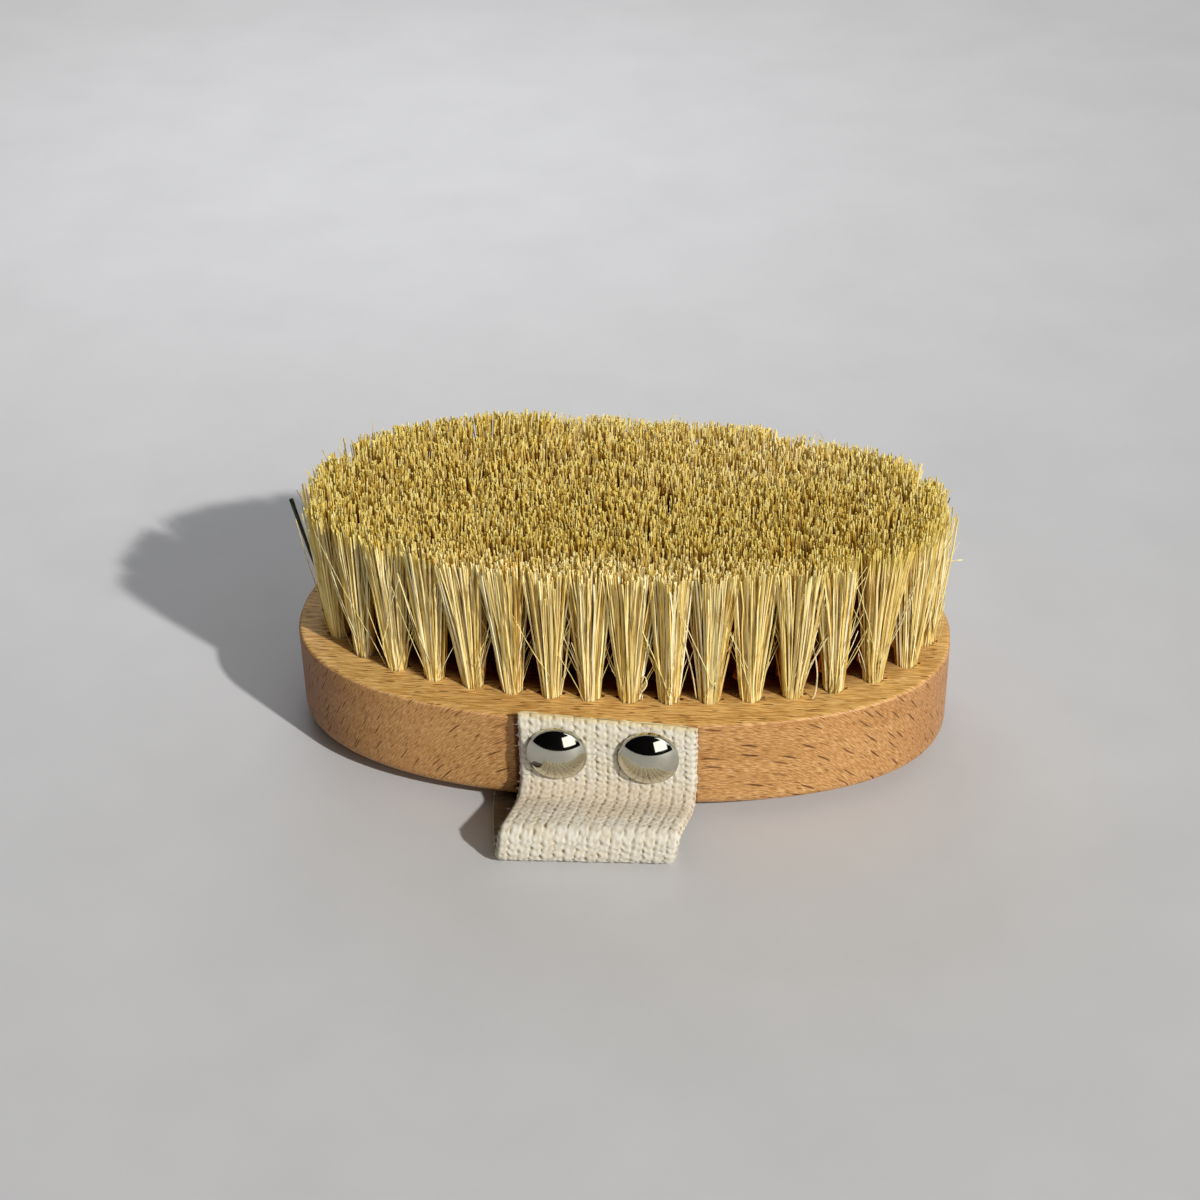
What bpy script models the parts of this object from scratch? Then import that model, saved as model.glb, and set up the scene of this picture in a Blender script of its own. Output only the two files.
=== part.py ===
"""Oval body brush: a beech back with rings of plant-fibre tufts set in its face, and a webbing hand
strap held to its two long sides by dome nails.

The brush lies on its back with the bristles up, over its own strap. X runs along the brush, -Y is the
side where the slack of the strap bulges out as a loop, and the underside of the strap lies at Z = 0.
"""

import math
import random

import bmesh
import bpy
from mathutils import Matrix, Vector

MM = 0.001

# Clearance between pieces that touch
SEAT_GAP = 0.3 * MM

# Beech back
BODY_LENGTH = 125.0 * MM
BODY_WIDTH = 67.5 * MM
BODY_HEIGHT = 18.8 * MM
BODY_POWER = 2.33
BODY_OUTLINE_COUNT = 112
TOP_ROUND = 1.0 * MM
BOTTOM_ROUND = 2.5 * MM
ROUND_SEGMENTS = 3

# Webbing hand strap
STRAP_WIDTH = 32.0 * MM
STRAP_THICKNESS = 1.9 * MM
STRAP_TOP_RISE = 1.1 * MM
STRAP_CUT_SKEW = 1.6 * MM
STRAP_NEAR_X = 0.8 * MM
STRAP_FOLD_X = -1.7 * MM
STRAP_UNDER_X = -5.0 * MM
STRAP_UNDER_INSET = 6.3 * MM
STRAP_FAR_X = 0.0
LOOP_REACH = 16.1 * MM
LOOP_DROP = 1.6 * MM
LOOP_BEND_RADIUS = 3.9 * MM
LOOP_BEND_DROP = 0.1 * MM
LOOP_CREST_RADIUS = 1.3 * MM
LOOP_FOOT_RADIUS = 2.65 * MM
FOLD_TURN = math.radians(2.5)
UNDER_TURN = math.radians(6.0)
STRAP_STEP = 4.0 * MM
ARC_STEP = math.radians(15.0)

# Dome nails: a pressed cap folded under the head of a tack
NAIL_SPACING = 16.6 * MM
NAIL_DROP = 5.4 * MM
DOME_RADIUS = 5.5 * MM
DOME_CROWN = 2.5 * MM
DOME_BAND = 0.4 * MM
DOME_WALL = 0.45 * MM
DOME_LIP = 0.3 * MM
DOME_LIP_HOLE_RADIUS = 3.1 * MM
TACK_HEAD_RADIUS = 3.7 * MM
TACK_HEAD_THICKNESS = 0.5 * MM
TACK_SHANK_RADIUS = 0.9 * MM
TACK_LENGTH = 14.0 * MM
TACK_POINT_LENGTH = 2.5 * MM
TURNED_STEPS = 24
CROWN_POINTS = 6

# Tufts: concentric ovals, then one straight row along the middle
RING_LENGTH = 113.6 * MM
RING_WIDTH = 51.0 * MM
RING_SHIFT = 0.8 * MM
RING_POWER = 2.2
RING_COUNTS = (35, 29, 22)
RING_PHASES = (0.43, 0.0, 0.25)
RING_STEP_X = 7.8 * MM
CROWDING = 1.6 * MM
ROW_COUNT = 8
ROW_PITCH = 8.0 * MM
RING_OUTLINE_COUNT = 72

# Wood slice that carries each ring
SLICE_MARGIN = 3.1 * MM
SLICE_THICKNESS = 2.5 * MM

# Strands of a tuft
TUFT_HEIGHT = 29.3 * MM
TRIM_SCATTER = 0.6 * MM
SIDE_LEAN = 3.0 * MM
STRAND_SIDES = 4
STRAND_FOOT_HALF = 0.85 * MM
STRAND_TIP_HALF = 1.35 * MM
STRAND_FOOT_OFFSET = 1.15 * MM
STRAND_TIP_OFFSET = 1.75 * MM
STRAND_ROOT = 1.2 * MM
TRIM_SEED = 7

# Places that follow from the sizes above
BODY_BOTTOM = STRAP_THICKNESS + SEAT_GAP
BODY_TOP = BODY_BOTTOM + BODY_HEIGHT
STRAP_SIDE_Y = BODY_WIDTH / 2 + SEAT_GAP + STRAP_THICKNESS / 2
STRAP_TOP = BODY_TOP + STRAP_TOP_RISE
STRAP_FACE_Y = STRAP_SIDE_Y + STRAP_THICKNESS / 2
NAIL_HEIGHT = BODY_TOP - NAIL_DROP
DOMES_FOOT = NAIL_HEIGHT - DOME_RADIUS
LOOP_HEIGHT = DOMES_FOOT - LOOP_DROP
NAIL_WAY_RADIUS = TACK_SHANK_RADIUS + SEAT_GAP
HEAD_FOOT = 2 * SEAT_GAP + DOME_LIP
RING_STEP_Y = RING_WIDTH / 2 / len(RING_COUNTS)
POCKET_DEPTH = SLICE_THICKNESS + SEAT_GAP
CUT_OVERRUN = 1.0 * MM

# Colours as linear RGB, then roughness and metallic
BEECH = ((0.56, 0.31, 0.16, 1.0), 0.5, 0.0)
WEBBING = ((0.74, 0.70, 0.60, 1.0), 0.9, 0.0)
CHROME = ((0.86, 0.86, 0.87, 1.0), 0.08, 1.0)
STEEL = ((0.55, 0.55, 0.56, 1.0), 0.35, 1.0)
FIBRE = ((0.62, 0.47, 0.20, 1.0), 0.7, 0.0)


def empty_the_scene():
    """Remove every object that the file opened with."""
    for thing in list(bpy.data.objects):
        bpy.data.objects.remove(thing, do_unlink=True)


def new_collection(name):
    """Collection of the given name, linked to the scene."""
    collection = bpy.data.collections.new(name)
    bpy.context.scene.collection.children.link(collection)
    return collection


def new_material(name, look):
    """Principled material from a colour, a roughness and a metallic value."""
    colour, roughness, metallic = look
    material = bpy.data.materials.new(name)
    material.use_nodes = True
    shader = material.node_tree.nodes["Principled BSDF"]
    shader.inputs["Base Color"].default_value = colour
    shader.inputs["Roughness"].default_value = roughness
    shader.inputs["Metallic"].default_value = metallic
    return material


def add_object(name, mesh, collection, material=None):
    """Object around a mesh, in a collection."""
    thing = bpy.data.objects.new(name, mesh)
    collection.objects.link(thing)
    if material:
        mesh.materials.append(material)
    return thing


def as_cutter(thing):
    """Show a cutter as wire, and keep it out of renders."""
    thing.display_type = "WIRE"
    thing.hide_render = True
    return thing


def add_boolean(thing, operation, other):
    """Boolean modifier with the exact solver."""
    modifier = thing.modifiers.new(operation.lower(), "BOOLEAN")
    modifier.operation = operation
    modifier.solver = "EXACT"
    modifier.object = other


def oval(half_length, half_width, power, count, shift=0.0):
    """Points of a superellipse, counted from +X towards +Y, with its centre shifted along X."""
    points = []
    for i in range(count):
        angle = 2 * math.pi * i / count
        c, s = math.cos(angle), math.sin(angle)
        x = math.copysign(abs(c) ** (2 / power), c) * half_length
        y = math.copysign(abs(s) ** (2 / power), s) * half_width
        points.append(Vector((x + shift, y)))
    return points


def prism(name, outlines, bottom, top, collection):
    """Solid between two heights inside the first outline, with any other outline as a hole in it."""
    curve = bpy.data.curves.new(name + "_outline", "CURVE")
    curve.dimensions = "2D"
    curve.fill_mode = "BOTH"
    curve.extrude = (top - bottom) / 2
    for outline in outlines:
        spline = curve.splines.new("POLY")
        spline.points.add(len(outline) - 1)
        for point, place in zip(spline.points, outline):
            point.co = (place.x, place.y, 0.0, 1.0)
        spline.use_cyclic_u = True
    guide = bpy.data.objects.new(name + "_outline", curve)
    guide.location.z = (top + bottom) / 2
    collection.objects.link(guide)
    bpy.context.view_layer.update()
    depsgraph = bpy.context.evaluated_depsgraph_get()
    mesh = bpy.data.meshes.new_from_object(guide.evaluated_get(depsgraph))
    mesh.name = name
    bm = bmesh.new()
    bm.from_mesh(mesh)
    bmesh.ops.remove_doubles(bm, verts=bm.verts, dist=0.001 * MM)
    bm.to_mesh(mesh)
    bm.free()
    solid = add_object(name, mesh, collection)
    solid.matrix_world = guide.matrix_world.copy()
    bpy.data.objects.remove(guide, do_unlink=True)
    return solid


def mark_rounded_edges(mesh, half_height):
    """Join each flat cap into one face, and weight its border for the bevel."""
    bm = bmesh.new()
    bm.from_mesh(mesh)
    bmesh.ops.dissolve_limit(bm, angle_limit=0.001, verts=bm.verts, edges=bm.edges)
    weight = bm.edges.layers.float.new("bevel_weight_edge")
    for edge in bm.edges:
        heights = [vert.co.z for vert in edge.verts]
        if min(heights) > half_height / 2:
            edge[weight] = TOP_ROUND / max(TOP_ROUND, BOTTOM_ROUND)
        elif max(heights) < -half_height / 2:
            edge[weight] = BOTTOM_ROUND / max(TOP_ROUND, BOTTOM_ROUND)
    bm.to_mesh(mesh)
    bm.free()


def turned(name, profile, collection, material, place):
    """Solid turned about its own Z from a profile of (radius, height) points."""
    bm = bmesh.new()
    verts = [bm.verts.new((radius, 0.0, height)) for radius, height in profile]
    for first, second in zip(verts, verts[1:]):
        bm.edges.new((first, second))
    mesh = bpy.data.meshes.new(name)
    bm.to_mesh(mesh)
    bm.free()
    solid = add_object(name, mesh, collection, material)
    screw = solid.modifiers.new("turn", "SCREW")
    screw.axis = "Z"
    screw.angle = 2 * math.pi
    screw.steps = TURNED_STEPS
    screw.render_steps = TURNED_STEPS
    screw.use_merge_vertices = True
    screw.merge_threshold = 0.001 * MM
    screw.use_smooth_shade = True
    solid.matrix_world = place
    return solid


def nail_places():
    """Name and frame of each nail: its Z points out of the side, and its origin is on the strap."""
    places = []
    for side, turn, centre in (("near", math.pi / 2, STRAP_NEAR_X), ("far", -math.pi / 2, STRAP_FAR_X)):
        out = -1 if side == "near" else 1
        for hand in (-1, 1):
            x = hand * NAIL_SPACING / 2
            name = side + ("_left" if hand < 0 else "_right")
            spot = Matrix.Translation((x, out * STRAP_FACE_Y, NAIL_HEIGHT))
            places.append((name, spot @ Matrix.Rotation(turn, 4, "X")))
    return places


def add_nail_ways(places, collection):
    """Cutters for the hole that each tack fills in the strap and the wood."""
    ways = []
    depth = TACK_LENGTH + SEAT_GAP
    for name, place in places:
        bm = bmesh.new()
        bmesh.ops.create_cone(
            bm,
            cap_ends=True,
            segments=TURNED_STEPS,
            radius1=NAIL_WAY_RADIUS,
            radius2=NAIL_WAY_RADIUS,
            depth=depth + CUT_OVERRUN,
            matrix=Matrix.Translation((0, 0, HEAD_FOOT - (depth - CUT_OVERRUN) / 2)),
        )
        mesh = bpy.data.meshes.new("nail_way_" + name)
        bm.to_mesh(mesh)
        bm.free()
        way = as_cutter(add_object("nail_way_" + name, mesh, collection))
        way.matrix_world = place
        ways.append(way)
    return ways


def add_wood_body(ways, parts, cutters):
    """Oval beech back, rounded over, with a pocket for the slices and a pilot hole for each tack."""
    outline = oval(BODY_LENGTH / 2, BODY_WIDTH / 2, BODY_POWER, BODY_OUTLINE_COUNT)
    body = prism("wood_body", [outline], BODY_BOTTOM, BODY_TOP, parts)
    body.data.materials.append(new_material("beech", BEECH))
    mark_rounded_edges(body.data, BODY_HEIGHT / 2)
    body.data.shade_smooth()
    bevel = body.modifiers.new("rounded_edges", "BEVEL")
    bevel.limit_method = "WEIGHT"
    bevel.width = max(TOP_ROUND, BOTTOM_ROUND)
    bevel.segments = ROUND_SEGMENTS
    bevel.harden_normals = True
    length, width = slice_border(0, outer=True)
    rim = oval(length + SEAT_GAP, width + SEAT_GAP, RING_POWER, RING_OUTLINE_COUNT, RING_SHIFT)
    pocket = prism("slice_pocket", [rim], BODY_TOP - POCKET_DEPTH, BODY_TOP + CUT_OVERRUN, cutters)
    add_boolean(body, "DIFFERENCE", as_cutter(pocket))
    for way in ways:
        add_boolean(body, "DIFFERENCE", way)
    return body


def strap_profile():
    """Middle line of the webbing as (y, z) points, with the indices where it folds and where it climbs.

    It comes down the near side, bends out, rises to the crest of the loop, drops to the table, folds back
    along it and climbs the far side.
    """
    lower = STRAP_THICKNESS / 2
    front = -(BODY_WIDTH / 2 + LOOP_REACH) + lower
    crest = Vector((front + LOOP_CREST_RADIUS, LOOP_HEIGHT - lower - LOOP_CREST_RADIUS))
    foot = Vector((front + LOOP_FOOT_RADIUS, lower + LOOP_FOOT_RADIUS))
    bend = Vector((-STRAP_SIDE_Y - LOOP_BEND_RADIUS, DOMES_FOOT - LOOP_BEND_DROP))
    gap = bend - crest
    slope = math.asin((LOOP_CREST_RADIUS + LOOP_BEND_RADIUS) / gap.length) - math.atan2(gap.y, gap.x)
    far_radius = BOTTOM_ROUND + SEAT_GAP + STRAP_THICKNESS / 2
    far_y = STRAP_SIDE_Y - far_radius
    points = []

    def line(start, end):
        steps = max(1, math.ceil((Vector(end) - Vector(start)).length / STRAP_STEP))
        points.extend(Vector(start).lerp(Vector(end), i / steps) for i in range(steps))

    def arc(centre, radius, start, end):
        steps = max(1, math.ceil(abs(end - start) / ARC_STEP))
        for i in range(steps):
            angle = start + (end - start) * i / steps
            spoke = Vector((math.cos(angle), math.sin(angle)))
            points.append(Vector(centre) + radius * spoke)

    run_normal = Vector((math.sin(slope), math.cos(slope)))
    line((-STRAP_SIDE_Y, STRAP_TOP), (-STRAP_SIDE_Y, bend.y))
    arc(bend, LOOP_BEND_RADIUS, 0.0, -math.pi / 2 - slope)
    line(bend - run_normal * LOOP_BEND_RADIUS, crest + run_normal * LOOP_CREST_RADIUS)
    fold_start = len(points)
    arc(crest, LOOP_CREST_RADIUS, math.pi / 2 - slope, math.pi)
    line((front, crest.y), (front, foot.y))
    arc(foot, LOOP_FOOT_RADIUS, math.pi, 3 * math.pi / 2)
    fold_end = len(points)
    line((foot.x, lower), (far_y, lower))
    arc((far_y, lower + far_radius), far_radius, -math.pi / 2, 0.0)
    far_start = len(points)
    line((STRAP_SIDE_Y, lower + far_radius), (STRAP_SIDE_Y, STRAP_TOP))
    points.append(Vector((STRAP_SIDE_Y, STRAP_TOP)))
    return points, (fold_start + fold_end) // 2, far_start


def along(stations, place):
    """Smooth value at a place between stations of (place, value), with level ends."""
    for i in range(len(stations) - 1):
        (start, low), (end, high) = stations[i], stations[i + 1]
        if place <= end or i == len(stations) - 2:
            break

    def slope(k):
        if k in (0, len(stations) - 1):
            return 0.0
        before, after = stations[k - 1], stations[k + 1]
        return (after[1] - before[1]) / (after[0] - before[0])

    span = end - start
    t = min(max((place - start) / span, 0.0), 1.0)
    rise = low * (1 + 2 * t) * (1 - t) ** 2 + high * t * t * (3 - 2 * t)
    return rise + span * (slope(i) * t * (1 - t) ** 2 - slope(i + 1) * t * t * (1 - t))


def add_hand_strap(ways, parts):
    """Webbing swept along its profile, drifting and turning a little where it lies slack."""
    profile, fold, far = strap_profile()
    lengths = [0.0]
    for first, second in zip(profile, profile[1:]):
        lengths.append(lengths[-1] + (second - first).length)
    under_y = -(BODY_WIDTH / 2 - STRAP_UNDER_INSET)
    under = min(range(fold, far), key=lambda i: abs(profile[i].x - under_y))
    leave = next(i for i, place in enumerate(profile) if place.x < -STRAP_SIDE_Y - 0.001 * MM) - 1
    drift = [(lengths[leave], STRAP_NEAR_X), (lengths[fold], STRAP_FOLD_X)]
    drift += [(lengths[under], STRAP_UNDER_X), (lengths[far], STRAP_FAR_X)]
    turn = [(lengths[leave], 0.0), (lengths[fold], FOLD_TURN)]
    turn += [(lengths[under], UNDER_TURN), (lengths[far], 0.0)]
    bm = bmesh.new()
    rows = []
    for place, length in zip(profile, lengths):
        middle = Vector((along(drift, length), place.x, place.y))
        angle = along(turn, length)
        half = Vector((math.cos(angle), math.sin(angle), 0.0)) * STRAP_WIDTH / 2
        rows.append((bm.verts.new(middle - half), bm.verts.new(middle + half)))
    for vert, side in zip(rows[0], (1, -1)):
        vert.co.z += side * STRAP_CUT_SKEW / 2
    for (left, right), (next_left, next_right) in zip(rows, rows[1:]):
        bm.faces.new((left, next_left, next_right, right))
    mesh = bpy.data.meshes.new("hand_strap")
    bm.to_mesh(mesh)
    bm.free()
    strap = add_object("hand_strap", mesh, parts, new_material("webbing", WEBBING))
    solidify = strap.modifiers.new("thickness", "SOLIDIFY")
    solidify.thickness = STRAP_THICKNESS
    solidify.offset = 0.0
    solidify.use_even_offset = True
    for way in ways:
        add_boolean(strap, "DIFFERENCE", way)
    return strap


def dome_profile():
    """Cap of a dome nail: the crown, a short band and a lip that folds in under the head."""
    foot = SEAT_GAP
    crown_foot = foot + DOME_BAND
    radius = (DOME_RADIUS**2 + DOME_CROWN**2) / (2 * DOME_CROWN)
    centre = crown_foot + DOME_CROWN - radius
    inner_radius = DOME_RADIUS - DOME_WALL
    inner = radius - DOME_WALL
    edge = math.asin(DOME_RADIUS / radius)
    inner_edge = math.asin(inner_radius / inner)
    steps = [i / CROWN_POINTS for i in range(CROWN_POINTS + 1)]
    points = [(radius * math.sin(edge * t), centre + radius * math.cos(edge * t)) for t in steps]
    points += [(DOME_RADIUS, foot), (DOME_LIP_HOLE_RADIUS, foot), (DOME_LIP_HOLE_RADIUS, foot + DOME_LIP)]
    points.append((inner_radius, foot + DOME_LIP))
    points += [
        (inner * math.sin(inner_edge * t), centre + inner * math.cos(inner_edge * t)) for t in reversed(steps)
    ]
    return points


def tack_profile():
    """Tack: a flat head inside the cap, and a shank that ends in a point."""
    head_top = HEAD_FOOT + TACK_HEAD_THICKNESS
    tip = HEAD_FOOT - TACK_LENGTH
    return [
        (0.0, head_top),
        (TACK_HEAD_RADIUS, head_top),
        (TACK_HEAD_RADIUS, HEAD_FOOT),
        (TACK_SHANK_RADIUS, HEAD_FOOT),
        (TACK_SHANK_RADIUS, tip + TACK_POINT_LENGTH),
        (0.0, tip),
    ]


def ring_axes(ring):
    """Half length and half width of a ring of tufts, counted from the outside."""
    return RING_LENGTH / 2 - ring * RING_STEP_X, RING_WIDTH / 2 - ring * RING_STEP_Y


def slice_border(ring, outer):
    """Half length and half width of a slice's outer or inner border."""
    length, width = ring_axes(ring)
    if outer and ring == 0:
        return length + SLICE_MARGIN, width + SLICE_MARGIN
    step = (SEAT_GAP - RING_STEP_X) / 2, (SEAT_GAP - RING_STEP_Y) / 2
    if outer:
        return length - step[0] - SEAT_GAP, width - step[1] - SEAT_GAP
    return length + step[0], width + step[1]


def ring_feet(ring):
    """Place and outward direction of each tuft of a ring, evenly spaced along the oval.

    The spacing closes up a little at the middle of each long side and opens at the ends.
    """
    half_length, half_width = ring_axes(ring)
    fine = 720
    line = oval(half_length, half_width, RING_POWER, fine)
    front = 3 * fine // 4
    line = line[front:] + line[: front + 1]
    lengths = [0.0]
    for first, second in zip(line, line[1:]):
        lengths.append(lengths[-1] + (second - first).length)
    around = lengths[-1]
    feet = []
    for i in range(RING_COUNTS[ring]):
        even = around * (i + RING_PHASES[ring]) / RING_COUNTS[ring]
        place = (even - CROWDING * math.sin(4 * math.pi * even / around)) % around
        k = next(j for j in range(fine) if lengths[j + 1] >= place)
        spot = line[k].lerp(line[k + 1], (place - lengths[k]) / (lengths[k + 1] - lengths[k]))
        out_x = math.copysign(abs(spot.x / half_length) ** (RING_POWER - 1), spot.x) / half_length
        out_y = math.copysign(abs(spot.y / half_width) ** (RING_POWER - 1), spot.y) / half_width
        feet.append((spot + Vector((RING_SHIFT, 0.0)), Vector((out_x, out_y)).normalized()))
    return feet


def row_feet():
    """Place and direction of each tuft of the straight middle row."""
    first = RING_SHIFT - ROW_PITCH * (ROW_COUNT - 1) / 2
    return [(Vector((first + i * ROW_PITCH, 0.0)), Vector((0.0, 1.0))) for i in range(ROW_COUNT)]


def add_strand(bm, foot, tip, out, height):
    """One four-sided strand that widens towards its level tip."""
    root = BODY_TOP - STRAND_ROOT
    length = height + STRAND_ROOT
    turn = Matrix.Rotation(math.atan2(out.y, out.x) + math.pi / STRAND_SIDES, 4, "Z")
    corner = 1 / math.cos(math.pi / STRAND_SIDES)
    shear = Matrix.Identity(4)
    shear[0][2] = (tip.x - foot.x) / length
    shear[1][2] = (tip.y - foot.y) / length
    middle = (foot + tip) / 2
    bmesh.ops.create_cone(
        bm,
        cap_ends=True,
        segments=STRAND_SIDES,
        radius1=STRAND_FOOT_HALF * corner,
        radius2=STRAND_TIP_HALF * corner,
        depth=length,
        matrix=Matrix.Translation((middle.x, middle.y, root + length / 2)) @ shear @ turn,
    )


def add_tuft_node(name, outlines, feet, lean, parts, cutters):
    """Slice of the back with the strands of its tufts fused to it, splayed towards the long sides."""
    chance = random.Random(TRIM_SEED + len(feet))
    bm = bmesh.new()
    for spot, out in feet:
        side = Vector((-out.y, out.x))
        for across, over in ((-1, -1), (1, -1), (1, 1), (-1, 1)):
            spread = side * across + out * over
            foot = spot + spread * STRAND_FOOT_OFFSET
            tip = spot + Vector((0.0, lean * spot.y)) + spread * STRAND_TIP_OFFSET
            add_strand(bm, foot, tip, out, TUFT_HEIGHT - chance.uniform(0.0, TRIM_SCATTER))
    mesh = bpy.data.meshes.new(name + "_strands")
    bm.to_mesh(mesh)
    bm.free()
    strands = as_cutter(add_object(name + "_strands", mesh, cutters))
    carrier = prism(name, outlines, BODY_TOP - SLICE_THICKNESS, BODY_TOP, parts)
    carrier.data.materials.append(new_material(name + "_fibre", FIBRE))
    add_boolean(carrier, "UNION", strands)
    return carrier


def add_tufts(parts, cutters):
    """Three rings of tufts and the middle row, each on its own slice."""
    rings = len(RING_COUNTS)
    lean = SIDE_LEAN / (RING_WIDTH / 2)
    for ring in range(rings):
        outer = oval(*slice_border(ring, outer=True), RING_POWER, RING_OUTLINE_COUNT, RING_SHIFT)
        inner = oval(*slice_border(ring, outer=False), RING_POWER, RING_OUTLINE_COUNT, RING_SHIFT)
        name = "tuft_ring_" + str(ring + 1)
        add_tuft_node(name, [outer, inner], ring_feet(ring), lean, parts, cutters)
    outline = oval(*slice_border(rings, outer=True), RING_POWER, RING_OUTLINE_COUNT, RING_SHIFT)
    add_tuft_node("tuft_middle_row", [outline], row_feet(), lean, parts, cutters)


def main():
    """Build the brush."""
    empty_the_scene()
    parts = new_collection("body_brush")
    cutters = new_collection("body_brush_cutters")
    places = nail_places()
    ways = add_nail_ways(places, cutters)
    add_wood_body(ways, parts, cutters)
    add_hand_strap(ways, parts)
    chrome = new_material("chrome", CHROME)
    steel = new_material("steel", STEEL)
    for name, place in places:
        turned("dome_cap_" + name, dome_profile(), parts, chrome, place)
        turned("tack_" + name, tack_profile(), parts, steel, place)
    add_tufts(parts, cutters)
    frame = bpy.data.objects.new("body_brush_frame", None)
    parts.objects.link(frame)
    for thing in list(parts.objects):
        if thing is not frame:
            thing.parent = frame
    bpy.context.view_layer.update()


main()
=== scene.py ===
"""The looks of the oval body brush: beech back, plant-fibre tufts, webbing strap and dome nails.

Everything is in metres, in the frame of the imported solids: X along the brush, -Y towards the side where
the strap bulges out, Z up from the table.
"""
import math

import bmesh
import bpy
import numpy as np
from mathutils import Matrix, Vector, noise


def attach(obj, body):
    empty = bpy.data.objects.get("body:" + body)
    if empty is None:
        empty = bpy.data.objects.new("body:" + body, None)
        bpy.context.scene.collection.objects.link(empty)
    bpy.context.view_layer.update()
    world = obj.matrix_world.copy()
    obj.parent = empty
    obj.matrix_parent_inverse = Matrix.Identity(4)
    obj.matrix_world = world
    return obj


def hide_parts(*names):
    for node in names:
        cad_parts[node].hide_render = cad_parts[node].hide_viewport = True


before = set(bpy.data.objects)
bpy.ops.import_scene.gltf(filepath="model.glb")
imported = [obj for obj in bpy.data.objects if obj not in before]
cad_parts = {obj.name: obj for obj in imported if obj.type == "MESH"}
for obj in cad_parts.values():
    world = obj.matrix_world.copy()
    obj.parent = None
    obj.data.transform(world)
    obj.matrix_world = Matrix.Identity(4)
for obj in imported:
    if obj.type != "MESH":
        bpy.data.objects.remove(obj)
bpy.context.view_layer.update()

MM = 0.001
SEAT_GAP = 0.3 * MM

# Beech back
BODY_LENGTH = 125.0 * MM
BODY_WIDTH = 67.5 * MM
BODY_HEIGHT = 18.8 * MM
BODY_POWER = 2.33
BODY_STEPS = 320
TOP_ROUND = 0.7 * MM
BOTTOM_ROUND = 2.5 * MM
ROUND_STEPS = 7
FLAT_MARGIN = 0.35 * MM
HOLE_RADIUS = 2.0 * MM
HOLE_DEPTH = 3.0 * MM
HOLE_STEPS = 28
HOLE_CHAMFER = 0.12 * MM
SLIT_REACH = 0.62 * MM
SLIT_WIDTH = 0.75 * MM
GRAIN_SLOPES = (
    (-60, 62), (-37, 58), (-26, 43), (-17, 23), (0, 4), (20, -6), (31, -13), (41, -36), (50, -46), (64, -56)
)
GRAIN_STEPS = 1440

# Tones of the beech, and tints that multiply them, some of them painted light and shade
BEECH_BANDS = ((0.3, (0.51, 0.252, 0.075)), (0.5, (0.59, 0.308, 0.105)), (0.68, (0.65, 0.358, 0.131)))
BEECH_PATCHES = ((0.35, (0.52, 0.26, 0.084)), (0.65, (0.63, 0.345, 0.122)))
BEECH_TEXTURE = (
    (0.39, (0.52, 0.33, 0.16)), (0.47, (0.91, 0.84, 0.73)),
    (0.53, (1.05, 1.08, 1.10)), (0.62, (1.44, 1.68, 2.30)),
)
BEECH_TOP = (1.18, 1.33, 1.22)
# Painted highlight along the rounded top edge
BEECH_EDGE_HIGHLIGHT = (1.25, 1.30, 1.60)
# Both ends darker for their end grain; the -X end darker still with painted shade, as it faces away from the
# key
BEECH_END_GRAIN_AND_SHADE = ((1.0, (0.80, 0.76, 0.80)), (-1.0, (0.64, 0.52, 0.48)))
# Painted shade on the top among the tufts
AMONG_TUFTS_SHADE = (0.36, 0.14, 0.075)
# Tint of the strap's painted shadow on the sides of the back
STRAP_SHADOW_TINT = (0.40, 0.21, 0.12)
FLECK_TONE = (0.105, 0.030, 0.006, 1.0)

# Layers of flecks: length and width of a cell in millimetres, where a fleck starts and ends to fade in its
# cell, and how dark the flecks are for a random value of the cell
SIDE_FLECKS = (
    ((14.0, 1.90), (0.10, 0.125), ((0.2, 0.0), (0.3, 0.8), (1.0, 1.0))),
    ((5.6, 1.10), (0.095, 0.14), ((0.35, 0.0), (0.6, 0.5), (1.0, 0.9))),
    ((2.1, 0.55), (0.13, 0.25), ((0.3, 0.0), (0.6, 0.2), (1.0, 0.45))),
)
TOP_FLECKS = (
    ((10.0, 1.5), (0.085, 0.115), ((0.3, 0.0), (0.4, 0.7), (1.0, 1.0))),
    ((5.0, 0.85), (0.09, 0.15), ((0.30, 0.0), (0.7, 0.6), (1.0, 1.0))),
)

# Webbing strap
STRAP_WIDTH = 32.0 * MM
STRAP_THICKNESS = 1.9 * MM
STRAP_TOP_RISE = 1.1 * MM
STRAP_CUT_SKEW = 1.6 * MM
STRAP_NEAR_X = 0.8 * MM
STRAP_FOLD_X = -1.7 * MM
STRAP_UNDER_X = -5.0 * MM
STRAP_UNDER_INSET = 6.3 * MM
STRAP_FAR_X = 0.0
STRAP_LENGTH = 136.7 * MM
LOOP_REACH = 16.1 * MM
LOOP_DROP = 1.6 * MM
LOOP_BEND_RADIUS = 3.9 * MM
LOOP_BEND_DROP = 0.1 * MM
LOOP_CREST_RADIUS = 1.3 * MM
LOOP_FOOT_RADIUS = 2.65 * MM
FOLD_TURN = math.radians(2.5)
UNDER_TURN = math.radians(6.0)
RIB_PITCH = 2.0 * MM
STITCH_PITCH = 1.4 * MM
WEAVE_DEPTH = 0.5 * MM
EDGE_TAPER = 1.3 * MM
EDGE_DROP = 0.65 * MM
# Width over which the strap's painted shadow on the wood fades beside its edge
STRAP_SHADOW_WIDTH = 1.2 * MM
CUT_TAPER = 3.5 * MM
RIB_SAMPLES = 8
INNER_RIB_SAMPLES = 2
STITCH_SAMPLES = 6
EDGE_SAMPLES = 4
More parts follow.
